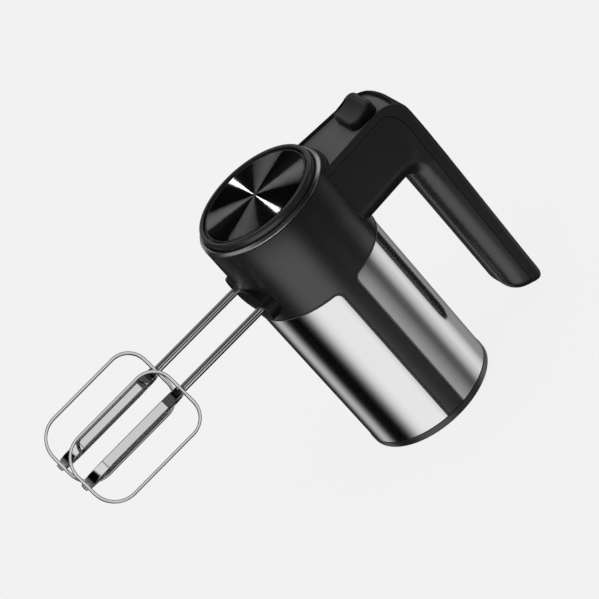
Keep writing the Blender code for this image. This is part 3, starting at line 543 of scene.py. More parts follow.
def bead_tree():
    """Runs a round bead along a line of edges and closes its ends."""
    tree, given, ids = geometry_tree("bead", Radius="NodeSocketFloat", Facets="NodeSocketInt")
    path = add_node(tree, "GeometryNodeMeshToCurve", {"Mesh": given.outputs["Geometry"]})
    section = add_node(
        tree, "GeometryNodeCurvePrimitiveCircle",
        {"Resolution": given.outputs["Facets"], "Radius": given.outputs["Radius"]},
        mode="RADIUS")
    swept = add_node(
        tree, "GeometryNodeCurveToMesh",
        {"Curve": path, "Profile Curve": section, "Fill Caps": True})
    close_tree(tree, swept, given, 60.0)
    return tree, ids


def copies_tree():
    """Sets a copy of one piece on every point of a line."""
    tree, given, ids = geometry_tree("copies", Piece="NodeSocketObject")
    one = add_node(tree, "GeometryNodeObjectInfo", {"Object": given.outputs["Piece"]})
    many = add_node(
        tree, "GeometryNodeInstanceOnPoints",
        {"Points": given.outputs["Geometry"], "Instance": one.outputs["Geometry"]})
    close_tree(tree, many, given)
    return tree, ids


TREES = {}


def grow(name, points, make_tree, finish_name, **inputs):
    """A plain mesh from a line of points in mm and a geometry tree, which is made once."""
    if make_tree not in TREES:
        TREES[make_tree] = make_tree()
    tree, ids = TREES[make_tree]
    obj = new_object(name, points, [(i, i + 1) for i in range(len(points) - 1)], [])
    step = obj.modifiers.new("grow", "NODES")
    step.node_group = tree
    for label, value in {**inputs, "Material": MATERIALS[finish_name]}.items():
        step[ids[label]] = value
    return evaluated_mesh(obj)


def turned(name, profile, finish_name, centre=(0, 0, 0), axis="Z", steps=None, smooth_angle=30.0):
    """A turned piece from (radius, height) points of a closed profile, along Z or -Y."""
    steps = steps or bpy.context.scene.mixer_body.turned_steps
    line = [(r, 0.0, h) for r, h in list(profile) + [profile[0]]]
    obj = grow(name, line, turning_tree, finish_name, Steps=steps)
    if axis == "-Y":
        obj.data.transform(Matrix.Rotation(math.pi / 2, 4, "X"))
    obj.data.transform(Matrix.Translation(Vector(centre) * MM))
    tidy(obj, smooth_angle)
    return obj


def rod(radius, low, high, centre=(0, 0, 0), axis="Z", steps=None):
    """A round cutter."""
    profile = [(0, low), (radius, low), (radius, high), (0, high)]
    return turned("cutter", profile, "case", centre, axis, steps)


def settle(obj, body, slot, *nodes):
    """Makes a piece ride on its body and stand for the frame's nodes."""
    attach(obj, body)
    if nodes:
        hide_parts(*nodes)


# ---------------------------------------------------------------- body

SIDES = (("front", -math.pi / 2), ("rear", math.pi / 2))
SHELL_LIP = 0.8  # how far the shell runs on above the panels before it is full size
CORNER_STEPS, WINDOW_STEPS = 8, 60  # facets of a window's corner, and of its upper edge
STRIP_COLUMNS = (-0.8, -0.5, -0.2, 0.2, 0.5, 0.8)  # columns of points across the black strip
SIDE_LEVELS = (0.0, 0.05, 0.35, 0.65)  # rows of points up a window's side
FOOT_LIP = 0.4  # the foot ring's upper edge to the shell
FOOT_INNER = 41.7
BOSS_MOUTH = (12.0, 11.0)  # inset and radius of the shell's hole behind the boss
NECK_MOUTH = ((-21, 30, 130), (21, 60, 168))
BEAD_SINK = 0.12
BEAD_FACETS = 16
UPRIGHT_STEPS = 12
PANEL_SINK, PANEL_WALL, PANEL_GAP, PANEL_ROWS = 0.3, 0.8, 0.15, 9


def body_radius(z):
    """Outer radius of the shell: a slight taper below the collar."""
    base = bpy.context.scene.mixer_body.base_radius / MM
    return base + (COLLAR_R - base) * min(1.0, z / (PANEL_TOP + SHELL_LIP))


def at_angle(angle, radius, z):
    """A point from its angle about the body, its radius and its height."""
    return (radius * math.cos(angle), radius * math.sin(angle), z)


def window_columns(grow_by=0.0):
    """(angle from a window's middle, drop at the corner) by column, and the upper edge's height."""
    body = bpy.context.scene.mixer_body
    half = math.pi / 2 - (body.strip_half / MM - grow_by) / COLLAR_R
    corner = body.window_corner / MM + grow_by
    side = []
    for i in range(CORNER_STEPS + 1):
        turn = math.pi / 2 * i / CORNER_STEPS
        inset = corner * (1 - math.cos(turn)) / COLLAR_R
        side.append((half - inset, corner * (1 - math.sin(turn))))
    inner = side[-1][0]
    middle = [(inner * (1 - 2 * i / WINDOW_STEPS), 0.0) for i in range(1, WINDOW_STEPS)]
    columns = side + middle + [(-angle, drop) for angle, drop in reversed(side)]
    return columns, body.window_high / MM + grow_by


class MIXER_OT_body(bpy.types.Operator):
    """Build the body shell with its two windows, the beads round them and the foot ring"""

    bl_idname = "mixer.body"
    bl_label = "Body shell"

    def execute(self, context):
        body = context.scene.mixer_body
        bead_at = (body.bead_gap + body.bead_radius) / MM
        foot = body.ring_height / MM + FOOT_LIP
        self.shell(body, foot, 2 * bead_at)
        self.beads(body, foot - 0.1, bead_at)
        base = body.base_radius / MM
        ring = rounded([
            (FOOT_INNER, 0.0, 0), (base - 0.1, 0.0, 0.9),
            (base + 0.1, foot - FOOT_LIP, 0.5), (FOOT_INNER, foot - FOOT_LIP, 0)], 7)
        ring = turned("foot_ring", ring, "satin_abs", smooth_angle=40)
        settle(ring, "mixer", "matte_black")
        return {"FINISHED"}

    def shell(self, body, foot, edge_at):
        """The shell: columns of points round it, where a window's columns start at its edge."""
        columns, high = window_columns(edge_at)
        corner = columns[0][1]
        strip = (body.strip_half / MM - edge_at) / COLLAR_R
        around = []
        for _, middle in SIDES:
            around += [(middle - angle, drop) for angle, drop in columns]
            around += [(middle + math.pi / 2 + strip * t, None) for t in STRIP_COLUMNS]
        lower = [foot + (high - corner - foot) * t for t in SIDE_LEVELS]
        upper = [high + 6, high + 14, 150.0]
        head = [(COLLAR_R, SHELL_TOP - 0.5), (COLLAR_R - 0.15, SHELL_TOP - 0.15),
                (COLLAR_R - 0.5, SHELL_TOP)]
        points, faces, columns_at = [], [], []
        for i, (angle, drop) in enumerate(around):
            full = None in (around[i - 1][1], drop, around[(i + 1) % len(around)][1])
            fall = corner if full else drop
            side = [(body_radius(z), z) for z in lower] if full else [None] * len(lower)
            rim = [high - fall * (1 - k / 4) for k in range(5)]
            column = []
            for row in side + [(body_radius(z), z) for z in rim + upper] + head:
                column.append(None if row is None else len(points))
                if row is not None:
                    points.append(at_angle(angle, *row))
            columns_at.append(column)
        for i, here in enumerate(columns_at):
            there = columns_at[(i + 1) % len(columns_at)]
            for k in range(len(here) - 1):
                corners = (here[k], there[k], there[k + 1], here[k + 1])
                if None not in corners:
                    faces.append(corners)
        shell = piece("body_skin", points, faces, "satin_abs", 40.0)
        thicken(shell, body.shell_wall)
        inset, radius = BOSS_MOUTH
        mouth = obround(BOSS_HIGH.x - inset, SHAFT_Z, radius, 12)
        boolean(shell, "DIFFERENCE", prism(mouth, "Y", -60, -20), block(*NECK_MOUTH))
        tidy(shell, 40.0)
        settle(shell, "mixer", "matte_black", "body_shell")

    def beads(self, body, foot, bead_at):
        """The bead round each window, open at the foot."""
        columns, high = window_columns(bead_at)
        top_angle, drop_there = columns[0]
        climb = high - drop_there - foot
        upright = [(top_angle, foot + climb * t / UPRIGHT_STEPS) for t in range(UPRIGHT_STEPS)]
        line = upright + [(angle, high - drop) for angle, drop in columns]
        line += [(-angle, z) for angle, z in reversed(upright)]
        for side, middle in SIDES:
            run = [at_angle(middle + angle, body_radius(z) - BEAD_SINK, z) for angle, z in line]
            # The bead's lighter grey is a painted highlight along the panel's edge.
            bead = grow("window_bead_" + side, run, bead_tree, "bead_abs",
                        Radius=body.bead_radius, Facets=BEAD_FACETS)
            tidy(bead, 60.0)
            settle(bead, "mixer", "matte_black")


class MIXER_OT_panels(bpy.types.Operator):
    """Build the two curved steel panels that lie in the windows"""

    bl_idname = "mixer.panels"
    bl_label = "Steel panels"

    def execute(self, context):
        columns, high = window_columns()
        low = context.scene.mixer_body.ring_height / MM + PANEL_GAP
        last = PANEL_ROWS - 1
        faces = []
        for i in range(len(columns) - 1):
            for k in range(last):
                a = i * PANEL_ROWS + k
                faces.append((a, a + 1, a + PANEL_ROWS + 1, a + PANEL_ROWS))
        for side, middle in SIDES:
            points = []
            for angle, drop in columns:
                for k in range(PANEL_ROWS):
                    z = low + (high - drop - low) * k / last
                    points.append(at_angle(middle + angle, body_radius(z) - PANEL_SINK, z))
            panel = piece("steel_panel_" + side, points, faces, "steel")
            thicken(panel, PANEL_WALL * MM)
            tidy(panel, 40.0)
            settle(panel, "mixer", "panel_steel", "panel_" + side)
        return {"FINISHED"}


# ---------------------------------------------------------------- top, heel and boss

# Heights of the satin ring, and of the cap's foot, plate, seat and groove.
RING_LOW, RING_TOP = 179.3, 181.45
CAP_LOW, CAP_SHELF, CAP_FLOOR, CAP_SEAT, GROOVE_LOW = 176.1, 178.0, 181.0, 183.5, 182.2
RIM_R = 41.9

HEEL_SLOTS, HEEL_SLOT_R = 8, 27.0
HEEL_SCREWS = (-32.0, 32.0)

# The boss: its back, the steps of its rounded front (from the front, inset), and each shaft's
# hole (radius, depth).
BOSS_BACK = -31.0
BOSS_EDGE = ((1.6, 0.0), (1.1, 0.1), (0.55, 0.42), (0.15, 0.95), (0.0, 1.6))
SHAFT_HOLE = ((0, 20), (5.6, 20), (5.6, 44.8), (3.4, 45.5), (3.4, 60), (0, 60))


class MIXER_OT_top(bpy.types.Operator):
    """Build the satin ring, the cap's rim and the spun disc on top of the body"""

    bl_idname = "mixer.top"
    bl_label = "Top: ring, cap and disc"

    def execute(self, context):
        disc_r, bead_top = DISC_HIGH.x - 1.2, CAP_TOP - 0.9
        ring = rounded([
            (42.6, RING_LOW, 0), (COLLAR_R - 0.1, RING_LOW, 0.2), (COLLAR_R - 0.1, 180.0, 0.3),
            (43.7, RING_TOP, 0.2), (42.6, RING_TOP, 0.2)])
        ring = turned("shoulder_band", ring, "nickel", smooth_angle=50)
        settle(ring, "mixer", "ring_satin", "shoulder_ring")
        # A shallow bead lies round the disc, and a deep groove between it and the rim.
        groove = disc_r + 2.4
        cap = rounded([
            (0.0, CAP_SEAT, 0), (disc_r + 0.25, CAP_SEAT, 0), (disc_r + 0.25, bead_top, 0.25),
            (disc_r + 1.05, bead_top, 0.25), (disc_r + 1.05, GROOVE_LOW, 0),
            (groove, GROOVE_LOW, 0), (groove, CAP_TOP, 0.6), (RIM_R, CAP_TOP, 1.4),
            (RIM_R, CAP_SHELF, 0), (RIM_R + 0.4, CAP_SHELF, 0), (RIM_R + 0.4, CAP_LOW, 0),
            (39.6, CAP_LOW, 0), (39.6, CAP_FLOOR, 0), (0.0, CAP_FLOOR, 0)], 7)
        cap = turned("cap_rim", cap, "rim_abs", smooth_angle=40)
        settle(cap, "mixer", "gloss_black", "rim_cap")
        disc = rounded([
            (0.0, DISC_HIGH.z, 0), (disc_r - 1.0, DISC_HIGH.z, 0),
            (disc_r, DISC_HIGH.z - 0.5, 0.3), (disc_r, DISC_LOW.z, 0), (0.0, DISC_LOW.z, 0)], 3)
        disc = turned("spun_disc", disc, "spun", smooth_angle=20)
        settle(disc, "mixer", "disc_black", "disc_insert")
        return {"FINISHED"}


class MIXER_OT_heel(bpy.types.Operator):
    """Build the vented heel cap and its screws"""

    bl_idname = "mixer.heel"
    bl_label = "Heel"

    def execute(self, context):
        high = cad("heel_cap")[1]
        outline = rounded([
            (0.0, 0.0, 0), (high.x, 0.0, 0.5), (high.x, high.z, 0), (0.0, high.z, 0)])
        heel = turned("heel_plate", outline, "satin_abs", steps=128)
        outwards = Matrix.Translation((HEEL_SLOT_R * MM, 0, 0))
        for i in range(HEEL_SLOTS):
            slot = prism(obround(4.8, 0, 1.2, 9), "Z", -2, 6)
            turn = math.tau * (i + 0.5) / HEEL_SLOTS
            slot.data.transform(Matrix.Rotation(turn, 4, "Z") @ outwards)
            boolean(heel, "DIFFERENCE", slot)
        well = [(0, -1), (3.3, -1), (3.3, 2.0), (1.7, 2.0), (1.7, 5), (0, 5)]
        for y in HEEL_SCREWS:
            boolean(heel, "DIFFERENCE", turned("cutter", well, "case", (0, y, 0), steps=32))
        tidy(heel)
        settle(heel, "mixer", "matte_black", "heel_cap")
        screw = turned("screw", [
            (0, 0.6), (2.2, 0.6), (2.9, 1.0), (2.9, 1.7), (1.35, 1.7), (1.35, 17.6), (0, 17.6)],
            "zinc", steps=32)
        boolean(screw, "DIFFERENCE",
                block((-2, -0.4, 0), (2, 0.4, 1.2)), block((-0.4, -2, 0), (0.4, 2, 1.2)))
        places = [(0, y, 0) for y in HEEL_SCREWS]
        screws = grow("heel_screws", places, copies_tree, "zinc", Piece=screw)
        bpy.data.objects.remove(screw)
        settle(screws, "mixer", "inner_steel", "heel_screw_front", "heel_screw_rear")
        return {"FINISHED"}


class MIXER_OT_boss(bpy.types.Operator):
    """Build the boss that the two beaters leave"""

    bl_idname = "mixer.boss"
    bl_label = "Beater boss"

    def execute(self, context):
        radius = (BOSS_HIGH.z - BOSS_LOW.z) / 2
        rings = []
        front = [(BOSS_LOW.y + off, inset) for off, inset in BOSS_EDGE]
        for y, inset in [(BOSS_BACK, 0.0)] + front:
            outline = obround(BOSS_HIGH.x - radius, SHAFT_Z, radius - inset, 24)
            rings.append([(x, y, z) for x, z in outline])
        boss = loft("boss_skin", rings, "boss_abs")
        for x in (SHAFT_X, -SHAFT_X):
            hole = turned("cutter", SHAFT_HOLE, "case", (x, 0, SHAFT_Z), "-Y", 48)
            boolean(boss, "DIFFERENCE", hole)
        tidy(boss, 25.0)
        settle(boss, "mixer", "gloss_black", "beater_boss")
        return {"FINISHED"}


# ---------------------------------------------------------------- handle

NECK_TOP = SPINE_HIGH.z
NECK_LOW = 126.5
NECK_HALF, NECK_FROM, NECK_TAPER = 24.9, 43.0, 0.108
GRIP_IN_Y = 78.5
GRIP_OUT_Y = SPINE_HIGH.y
NOOK_R = 3.0
INNER_R, EDGE_R, GRIP_R = 12.5, 1.2, 5.5
HANDLE_WALL = 2.4
ROOF_T, GRIP_ROOF_T = 6.4, 2.6
SLOT = ((-5.0, 70.8, 160.0), (5.0, 88.2, 180.0))

# The hook below its outer corner: outer y and height.
HOOK = ((104.48, 152.0), (104.44, 146.0), (104.35, 138.0), (104.1, 130.0))

# Sections of the grip: inner y and height, outer y, half width, flare.
GRIP = (
    (78.49, 117.0, 103.75, 17.95, 0.95), (78.47, 112.0, 103.6, 17.85, 0.55),
    (78.45, 100.0, 103.3, 17.8, 0.1), (78.35, 70.0, 102.5, 17.5, 0.0),
    (78.2, 40.0, 101.75, 17.3, 0.0), (78.1, 28.0, 101.45, 17.2, 0.0),
)

# The grip's rounded slanted end, as stations without their flare.
GRIP_END = (
    (78.4, 23.0, 101.3, 16.0, 17.1, 11.0, 5.5), (79.6, 18.5, 100.9, 11.5, 16.3, 10.0, 5.5),
    (81.8, 15.2, 99.6, 9.0, 14.6, 8.0, 5.0), (84.6, 13.3, 97.6, 8.2, 12.0, 6.0, 4.5),
)


def neck_half(y):
    """Half the handle's width at a distance from the body's axis."""
    return NECK_HALF - NECK_TAPER * (y - NECK_FROM)


def handle_stations(corner_r):
    """(inner y, inner z, outer y, outer z, half width, inner radius, outer radius, flare) along
    the handle. The flare is how much wider the section is on its inner side."""
    pivot = (GRIP_IN_Y - NOOK_R, NECK_LOW - NOOK_R)
    found = [(y, NECK_LOW, y, NECK_TOP, neck_half(y), INNER_R, EDGE_R, 0.0)
             for y in (34.0, 54.0, pivot[0])]
    centre = (GRIP_OUT_Y - corner_r, NECK_TOP - corner_r)
    outer = [(80.5, NECK_TOP), *arc(centre, corner_r, 90, 0, 12), *HOOK, (103.9, pivot[1])]
    for i, (y, z) in enumerate(outer):
        share = (i + 1) / len(outer)
        turn = math.radians(90 * (1 - share))
        inner = (pivot[0] + NOOK_R * math.cos(turn), pivot[1] + NOOK_R * math.sin(turn))
        # The outer edge is crisp beside the inlay, roundest where the hook turns, then eases off.
        rise = min(1.0, max(0.0, (i - 6) / 6)) ** 1.3
        ease = min(1.0, max(0.0, (i - 13) / 5))
        half = neck_half(min(y, GRIP_OUT_Y)) - 0.1 * max(0, i - 13)
        flare = neck_half(inner[0]) - 1.6 * share ** 2 - half
        found.append((*inner, y, z, half, INNER_R, EDGE_R + 7.8 * rise - 3.5 * ease, flare))
    for y_in, z, y_out, half, flare in GRIP:
        found.append((y_in, z, y_out, z - 1.0, half, INNER_R, GRIP_R, flare))
    return found


def end_stations(inset):
    """The stations of the grip's end, drawn in all round."""
    return [(a + inset, b + inset, c - inset, d + inset, e - inset, f, g, 0.0)
            for a, b, c, d, e, f, g in GRIP_END]


def eased(stations, steps):
    """More stations between the given ones, on a smooth curve through them."""
    found = []
    last = len(stations) - 1
    for i in range(last):
        near = [stations[min(max(k, 0), last)] for k in range(i - 1, i + 3)]
        for j in range(steps):
            t = j / steps
            found.append(tuple(
                0.5 * (2 * b + (c - a) * t + (2 * a - 5 * b + 4 * c - d) * t * t
                       + (3 * b - 3 * c + d - a) * t ** 3)
                for a, b, c, d in zip(*near)))
    return found + [stations[-1]]


def handle_ring(station, steps):
    """A rounded rectangle in the plane through a station's inner and outer points."""
    y_in, z_in, y_out, z_out, half, r_in, r_out, flare = station
    inner, outer = Vector((0, y_in, z_in)), Vector((0, y_out, z_out))
    up = (outer - inner).normalized()
    across = Vector((1, 0, 0))
    ring = []
    for base, along, side, radius, reach, backwards in (
        (outer, -up, 1, r_out, half, True), (inner, up, 1, r_in, half + flare, False),
        (inner, up, -1, r_in, half + flare, True), (outer, -up, -1, r_out, half, False),
    ):
        corner = base + across * side * (reach - radius) + along * radius
        quarter = []
        for x, y in arc((0, 0), radius, 0, 90, steps):
            quarter.append(corner + across * side * x - along * y)
        ring += quarter[::-1] if backwards else quarter
    return ring


def hollow_station(station, roof=ROOF_T):
    """A station of the handle's inside: a wall in from the outside, and a thicker roof."""
    y_in, z_in, y_out, z_out, half, r_in, r_out, flare = station
    inner, outer = Vector((y_in, z_in)), Vector((y_out, z_out))
    up = (outer - inner).normalized()
    inner += up * HANDLE_WALL
    outer -= up * roof
    radii = [max(0.8, r - HANDLE_WALL) for r in (r_in, r_out)]
    return (*inner, *outer, half - HANDLE_WALL, *radii, flare)


# The seam between the handle's halves, as (y, z), and what lies outside it.
SEAM = [(20.0, 171.5)] + eased(
    [(81.0, 171.5), (84.5, 171.5), (88.0, 170.6), (91.0, 168.2), (93.4, 164.3), (95.0, 158.8),
     (95.6, 152.5), (95.65, 146.0), (95.5, 140.0)], 4) + [(92.6, 15.0), (92.2, 0.0)]
BEYOND = [(120.0, 0.0), (120.0, 190.0), (20.0, 190.0)]


def moved_in(line, gap):
    """A seam line shifted towards the inside of the handle."""
    shifted = []
    for i, (y, z) in enumerate(line):
        run = Vector(line[min(len(line) - 1, i + 1)]) - Vector(line[max(0, i - 1)])
        run.normalize()
        shifted.append((y + run.y * gap, z - run.x * gap))
    return shifted


# The inlay ends on the corner: how far round it lies, and over which degrees it narrows.
INLAY_TURN, INLAY_STEPS = 50, 24
NARROWS_FROM, NARROWS_OVER = 30, 20


def inlay_rings(handle, half_gap, above, below, end_reach):
    """Four-point rings along the handle's top, sunk below it, narrowing to a round end."""
    corner = handle.corner_radius / MM
    centre = (GRIP_OUT_Y - corner, NECK_TOP - corner)
    path = [(y, NECK_TOP, 0.0, 1.0) for y in (36.0, 50.0, 64.0, 78.0, centre[0])]
    for i in range(1, INLAY_STEPS + 1):
        turn = math.radians(90 - INLAY_TURN * math.sin(math.pi / 2 * i / INLAY_STEPS) ** 0.8)
        c, s = math.cos(turn), math.sin(turn)
        path.append((centre[0] + corner * c, centre[1] + corner * s, c, s))
    rings = []
    for y, z, ny, nz in path:
        degrees = math.degrees(math.acos(min(1.0, nz)))
        late = max(0.0, (degrees - NARROWS_FROM) / NARROWS_OVER) * end_reach
        half = neck_half(y) - handle.rim / MM - half_gap
        half *= math.sqrt(max(0.015, 1 - late ** 2))
        rings.append([(x, y + ny * lift, z + nz * lift) for x, lift in (
            (-half, above), (half, above), (half, below), (-half, below))])
    return rings


class MIXER_OT_handle(bpy.types.Operator):
    """Build the handle's spine, its shell and the inlay on top"""

    bl_idname = "mixer.handle"
    bl_label = "Handle"

    def execute(self, context):
        handle = context.scene.mixer_handle
        sink = -handle.inlay_sink / MM
        stations = handle_stations(handle.corner_radius / MM)
        hook, grip = stations[:-len(GRIP)], stations[-len(GRIP):]
        outer = [handle_ring(s, 7) for s in hook + eased(grip + end_stations(0.0), 3)]
        mouth = (24.0, NECK_LOW, 24.0, NECK_TOP, neck_half(24.0), 3.5, EDGE_R, 0.0)
        hollow = [hollow_station(mouth)]
        for i, station in enumerate(stations):
            thins = min(1.0, max(0, i - 13) / 6)
            hollow.append(hollow_station(station, ROOF_T + (GRIP_ROOF_T - ROOF_T) * thins))
        hollow = [handle_ring(s, 3) for s in hollow + end_stations(HANDLE_WALL)[:2]]

        def inside():
            """A cutter of the handle's hollow."""
            return loft("cutter", hollow, "case", split=True)

        spine = loft("handle_back", outer, "matte_abs", split=True)
        boolean(spine, "DIFFERENCE", inside())
        boolean(spine, "INTERSECT", prism(SEAM + BEYOND, "X", -40, 40))
        recess = inlay_rings(handle, 0.0, 12.0, sink - 1.2, 0.99)
        recess = loft("cutter", recess, "case", split=True)
        boolean(recess, "DIFFERENCE", rod(47.2, -10, 210))
        boolean(spine, "DIFFERENCE", recess, block(*SLOT))
        shell = loft("handle_front", outer, "satin_abs", split=True)
        trim = moved_in(SEAM, handle.seam / MM)
        gland = rod(4.1, 0, 40, (0, 87.3, 0), steps=32)
        boolean(shell, "DIFFERENCE",
                inside(), prism(trim + BEYOND, "X", -40, 40), block(*SLOT), gland)
        inlay = inlay_rings(handle, 0.12, sink, sink - 1.0, 0.985)
        inlay = loft("handle_top_inlay", inlay, "soft_touch", split=True)
        boolean(inlay, "DIFFERENCE", rod(47.4, -10, 210), block(*SLOT))
        for obj, slot, node in (
            (spine, "matte_black", "handle_spine"), (shell, "matte_black", "handle_shell"),
            (inlay, "inlay_grey", "handle_inlay"),
        ):
            tidy(obj, 32.0, weld=5e-6)
            weighted(obj)
            settle(obj, "mixer", slot, node)
        return {"FINISHED"}


# ---------------------------------------------------------------- slide and button

SLIDE_BASE, SLIDE_WALL = 173.85, 0.9
WELL_R = 5.8  # corner radius of the well that the button lies in
LEG = ((-4.5, 86.9, 169.3), (4.5, 87.9, 175.0))
BRIDGE_HALF, BRIDGE_TOP = 4.4, 174.9
PAD_GAP = 0.15
PAD_STEPS, PAD_HALF_COLUMNS = 36, 12
PAD_UNDER, PAD_THIN_UNDER, PAD_THIN_FROM = 177.6, 179.3, 86.0
STEM_HALF = 4.2
STEM = ((83.2, 178.0), (86.2, 178.0), (86.2, 150.0), (84.7, 150.0), (80.2, 154.5), (80.2, 163.0),
        (83.2, 163.0))


class MIXER_OT_slide(bpy.types.Operator):
    """Build the speed slide's frame and the eject button in it"""

    bl_idname = "mixer.slide"
    bl_label = "Speed slide and button"

    def execute(self, context):
        half_all, inner = SLIDE_HIGH.x + 1.2, SLIDE_HIGH.x + 1.2 - SLIDE_WALL
        front, back = SLIDE_LOW.y - 1.0, SLIDE_HIGH.y + 0.4
        well_front, well_back = front + SLIDE_WALL, back - SLIDE_WALL - 0.2
        # Along the slide: place, how far its sides draw in, height.
        keys = [
            (front, 6.3, 176.8), (front + 0.5, 4.0, 177.7), (front + 1.9, 1.9, 178.4),
            (front + 4.0, 0.5, 178.9), (front + 6.5, 0.0, 179.1), (80.0, 0.0, 179.7),
            (back - 6.5, 0.0, 180.5), (back - 4.0, 0.5, 180.9), (back - 1.9, 1.9, 181.0),
            (back - 0.5, 4.0, 180.4), (back, 6.3, 179.2)]
        rings = []
        for y, drawn_in, top in eased(keys, 4):
            half = half_all - drawn_in
            outline = rounded([
                (-half, SLIDE_BASE, 0), (half, SLIDE_BASE, 0),
                (half, top, 0.5), (-half, top, 0.5)], 3)
            rings.append([(x, y, z) for x, z in outline])
        slide = loft("slide_frame", rings, "boss_abs", split=True)
        well = rounded([
            (-inner, well_front, WELL_R), (inner, well_front, WELL_R),
            (inner, well_back, WELL_R), (-inner, well_back, WELL_R)], 8)
        boolean(slide, "DIFFERENCE", prism(well, "Z", 165, 190))
        boolean(slide, "UNION", block(*LEG), block(
            (-BRIDGE_HALF, 87.0, SLIDE_BASE + 0.1),
            (BRIDGE_HALF, back - SLIDE_WALL / 2, BRIDGE_TOP)))
        tidy(slide, 35.0)
        settle(slide, "carriage", "gloss_black", "speed_slide")
        button = self.pad(inner - PAD_GAP, well_front + PAD_GAP, well_back - PAD_GAP)
        boolean(button, "UNION", prism(STEM, "X", -STEM_HALF, STEM_HALF))
        tidy(button)
        settle(button, "button", "inlay_grey", "eject_button")
        return {"FINISHED"}

    def pad(self, half, front, back):
        """The button's pad: dished for a thumb, its rear raised, its edges eased."""
        rings = []
        for i in range(PAD_STEPS + 1):
            y = front + (back - front) * (1 - math.cos(math.pi * i / PAD_STEPS)) / 2
            edge = min(y - front, back - y)
            cut = max(0.0, WELL_R - edge)
            here = half - (WELL_R - math.sqrt(max(0.0, WELL_R ** 2 - cut ** 2))) * 0.985
            share = (y - front) / (back - front)
            middle = 179.7 - 1.5 * math.sin(math.pi * min(1.0, share * 1.25)) + 2.3 * share ** 2
            middle -= 0.9 * max(0.0, 1 - edge / 1.6) ** 2
            # Its rear is thinner, to clear the slide's leg when it is pressed.
            under = PAD_UNDER if y < PAD_THIN_FROM else PAD_THIN_UNDER
            ring = [(-here, y, under), (here, y, under)]
            for k in range(2 * PAD_HALF_COLUMNS + 1):
                t = 1 - k / PAD_HALF_COLUMNS
                brow = 0.6 * (max(0.0, abs(t) - 0.86) / 0.14) ** 2
                ring.append((here * t, y, middle + 0.35 * t * t - brow))
            rings.append(ring)
        return loft("button_pad", rings, "button_abs", split=True)


# ---------------------------------------------------------------- beaters

LOOP_END_R, LOOP_TOP_R = 18.0, 15.0
LOOP_STEPS = 14  # facets in a quarter of a loop
PART_GAP = 0.3  # between the pieces stacked on a beater's axis
RIVET_HOLE_R = 1.75


def strip_loop(name, centre, beaters, inner, turn):
    """A flat strip bent into a rounded rectangle, its straight sides along the beater's axis."""
    thick, width = beaters.strip_thickness / MM, beaters.strip_width / MM
    half = beaters.loop_half / MM
    top, end = LOOP_TOP + inner, LOOP_END - inner
    section = rounded([
        (0, -width / 2, 0.45), (0, width / 2, 0.45), (-thick, width / 2, 0.45),
        (-thick, -width / 2, 0.45)], 3)
    spin = Matrix.Rotation(turn, 3, "Y")
    rings = []
    for quarter, (side, level, radius) in enumerate((
        (1, end - LOOP_END_R, LOOP_END_R), (-1, end - LOOP_END_R, LOOP_END_R),
        (-1, top + LOOP_TOP_R, LOOP_TOP_R), (1, top + LOOP_TOP_R, LOOP_TOP_R),
    )):
        middle = side * (half - radius)
        for i in range(LOOP_STEPS + 1):
            angle = math.radians(90 * (quarter + i / LOOP_STEPS))
            c, s = math.cos(angle), math.sin(angle)
            ring = []
            for out, across in section:
                reach = radius + out
                spot = spin @ Vector((middle + reach * c, -(level + reach * s), across))
                ring.append(spot + Vector(centre))
            rings.append(ring)
    loop = loft(name, rings, "chrome", around=True, smooth_angle=35)
    boolean(loop, "DIFFERENCE", rod(RIVET_HOLE_R, top - 8, end + 8, centre, "-Y", 24))
    tidy(loop, 40.0)
    weighted(loop)
    return loop


class MIXER_OT_beaters(bpy.types.Operator):
    """Build both beaters: shaft, two crossed blade loops and the end rivet"""

    bl_idname = "mixer.beaters"
    bl_label = "Beaters"

    def execute(self, context):
        beaters = context.scene.mixer_beaters
        r, gap, top, end = beaters.shaft_radius / MM, PART_GAP, LOOP_TOP, LOOP_END
        thick = beaters.strip_thickness / MM
        low, high = top + 2 * (thick + gap), end - 2 * (thick + gap)
        shaft = rounded([
            (0, -4.0, 0), (r - 0.7, -4.0, 0.3), (r, -3.3, 0.3), (r, top - gap, 0.5),
            (1.5, top - gap, 0), (1.5, low, 0), (2.6, low, 0.3), (2.2, low + 1.0, 0.4),
            (0, low + 1.0, 0)], 4)
        rivet = rounded([
            (0, high - 0.9, 0), (1.9, high - 0.9, 0.4), (2.6, high, 0), (1.5, high, 0),
            (1.5, end + gap, 0), (2.9, end + gap, 0.2), (2.0, end + 1.4, 0.8),
            (0, end + 1.5, 0)], 4)
        for side, x in (("left", SHAFT_X), ("right", -SHAFT_X)):
            centre, turn = (x, 0, SHAFT_Z), beaters.turn
            for obj, node in (
                (turned("shaft_" + side, shaft, "chrome", centre, "-Y", 64), "shaft"),
                (strip_loop("blade_wide_" + side, centre, beaters, 0.0, turn), "loop_wide"),
                (strip_loop("blade_cross_" + side, centre, beaters, thick + gap,
                            turn - math.pi / 2), "loop_cross"),
                (turned("rivet_" + side, rivet, "chrome", centre, "-Y", 48), "rivet"),
            ):
                settle(obj, "beater_" + side, "beater_chrome", "beater_%s_%s" % (node, side))
        return {"FINISHED"}


# ---------------------------------------------------------------- inner works

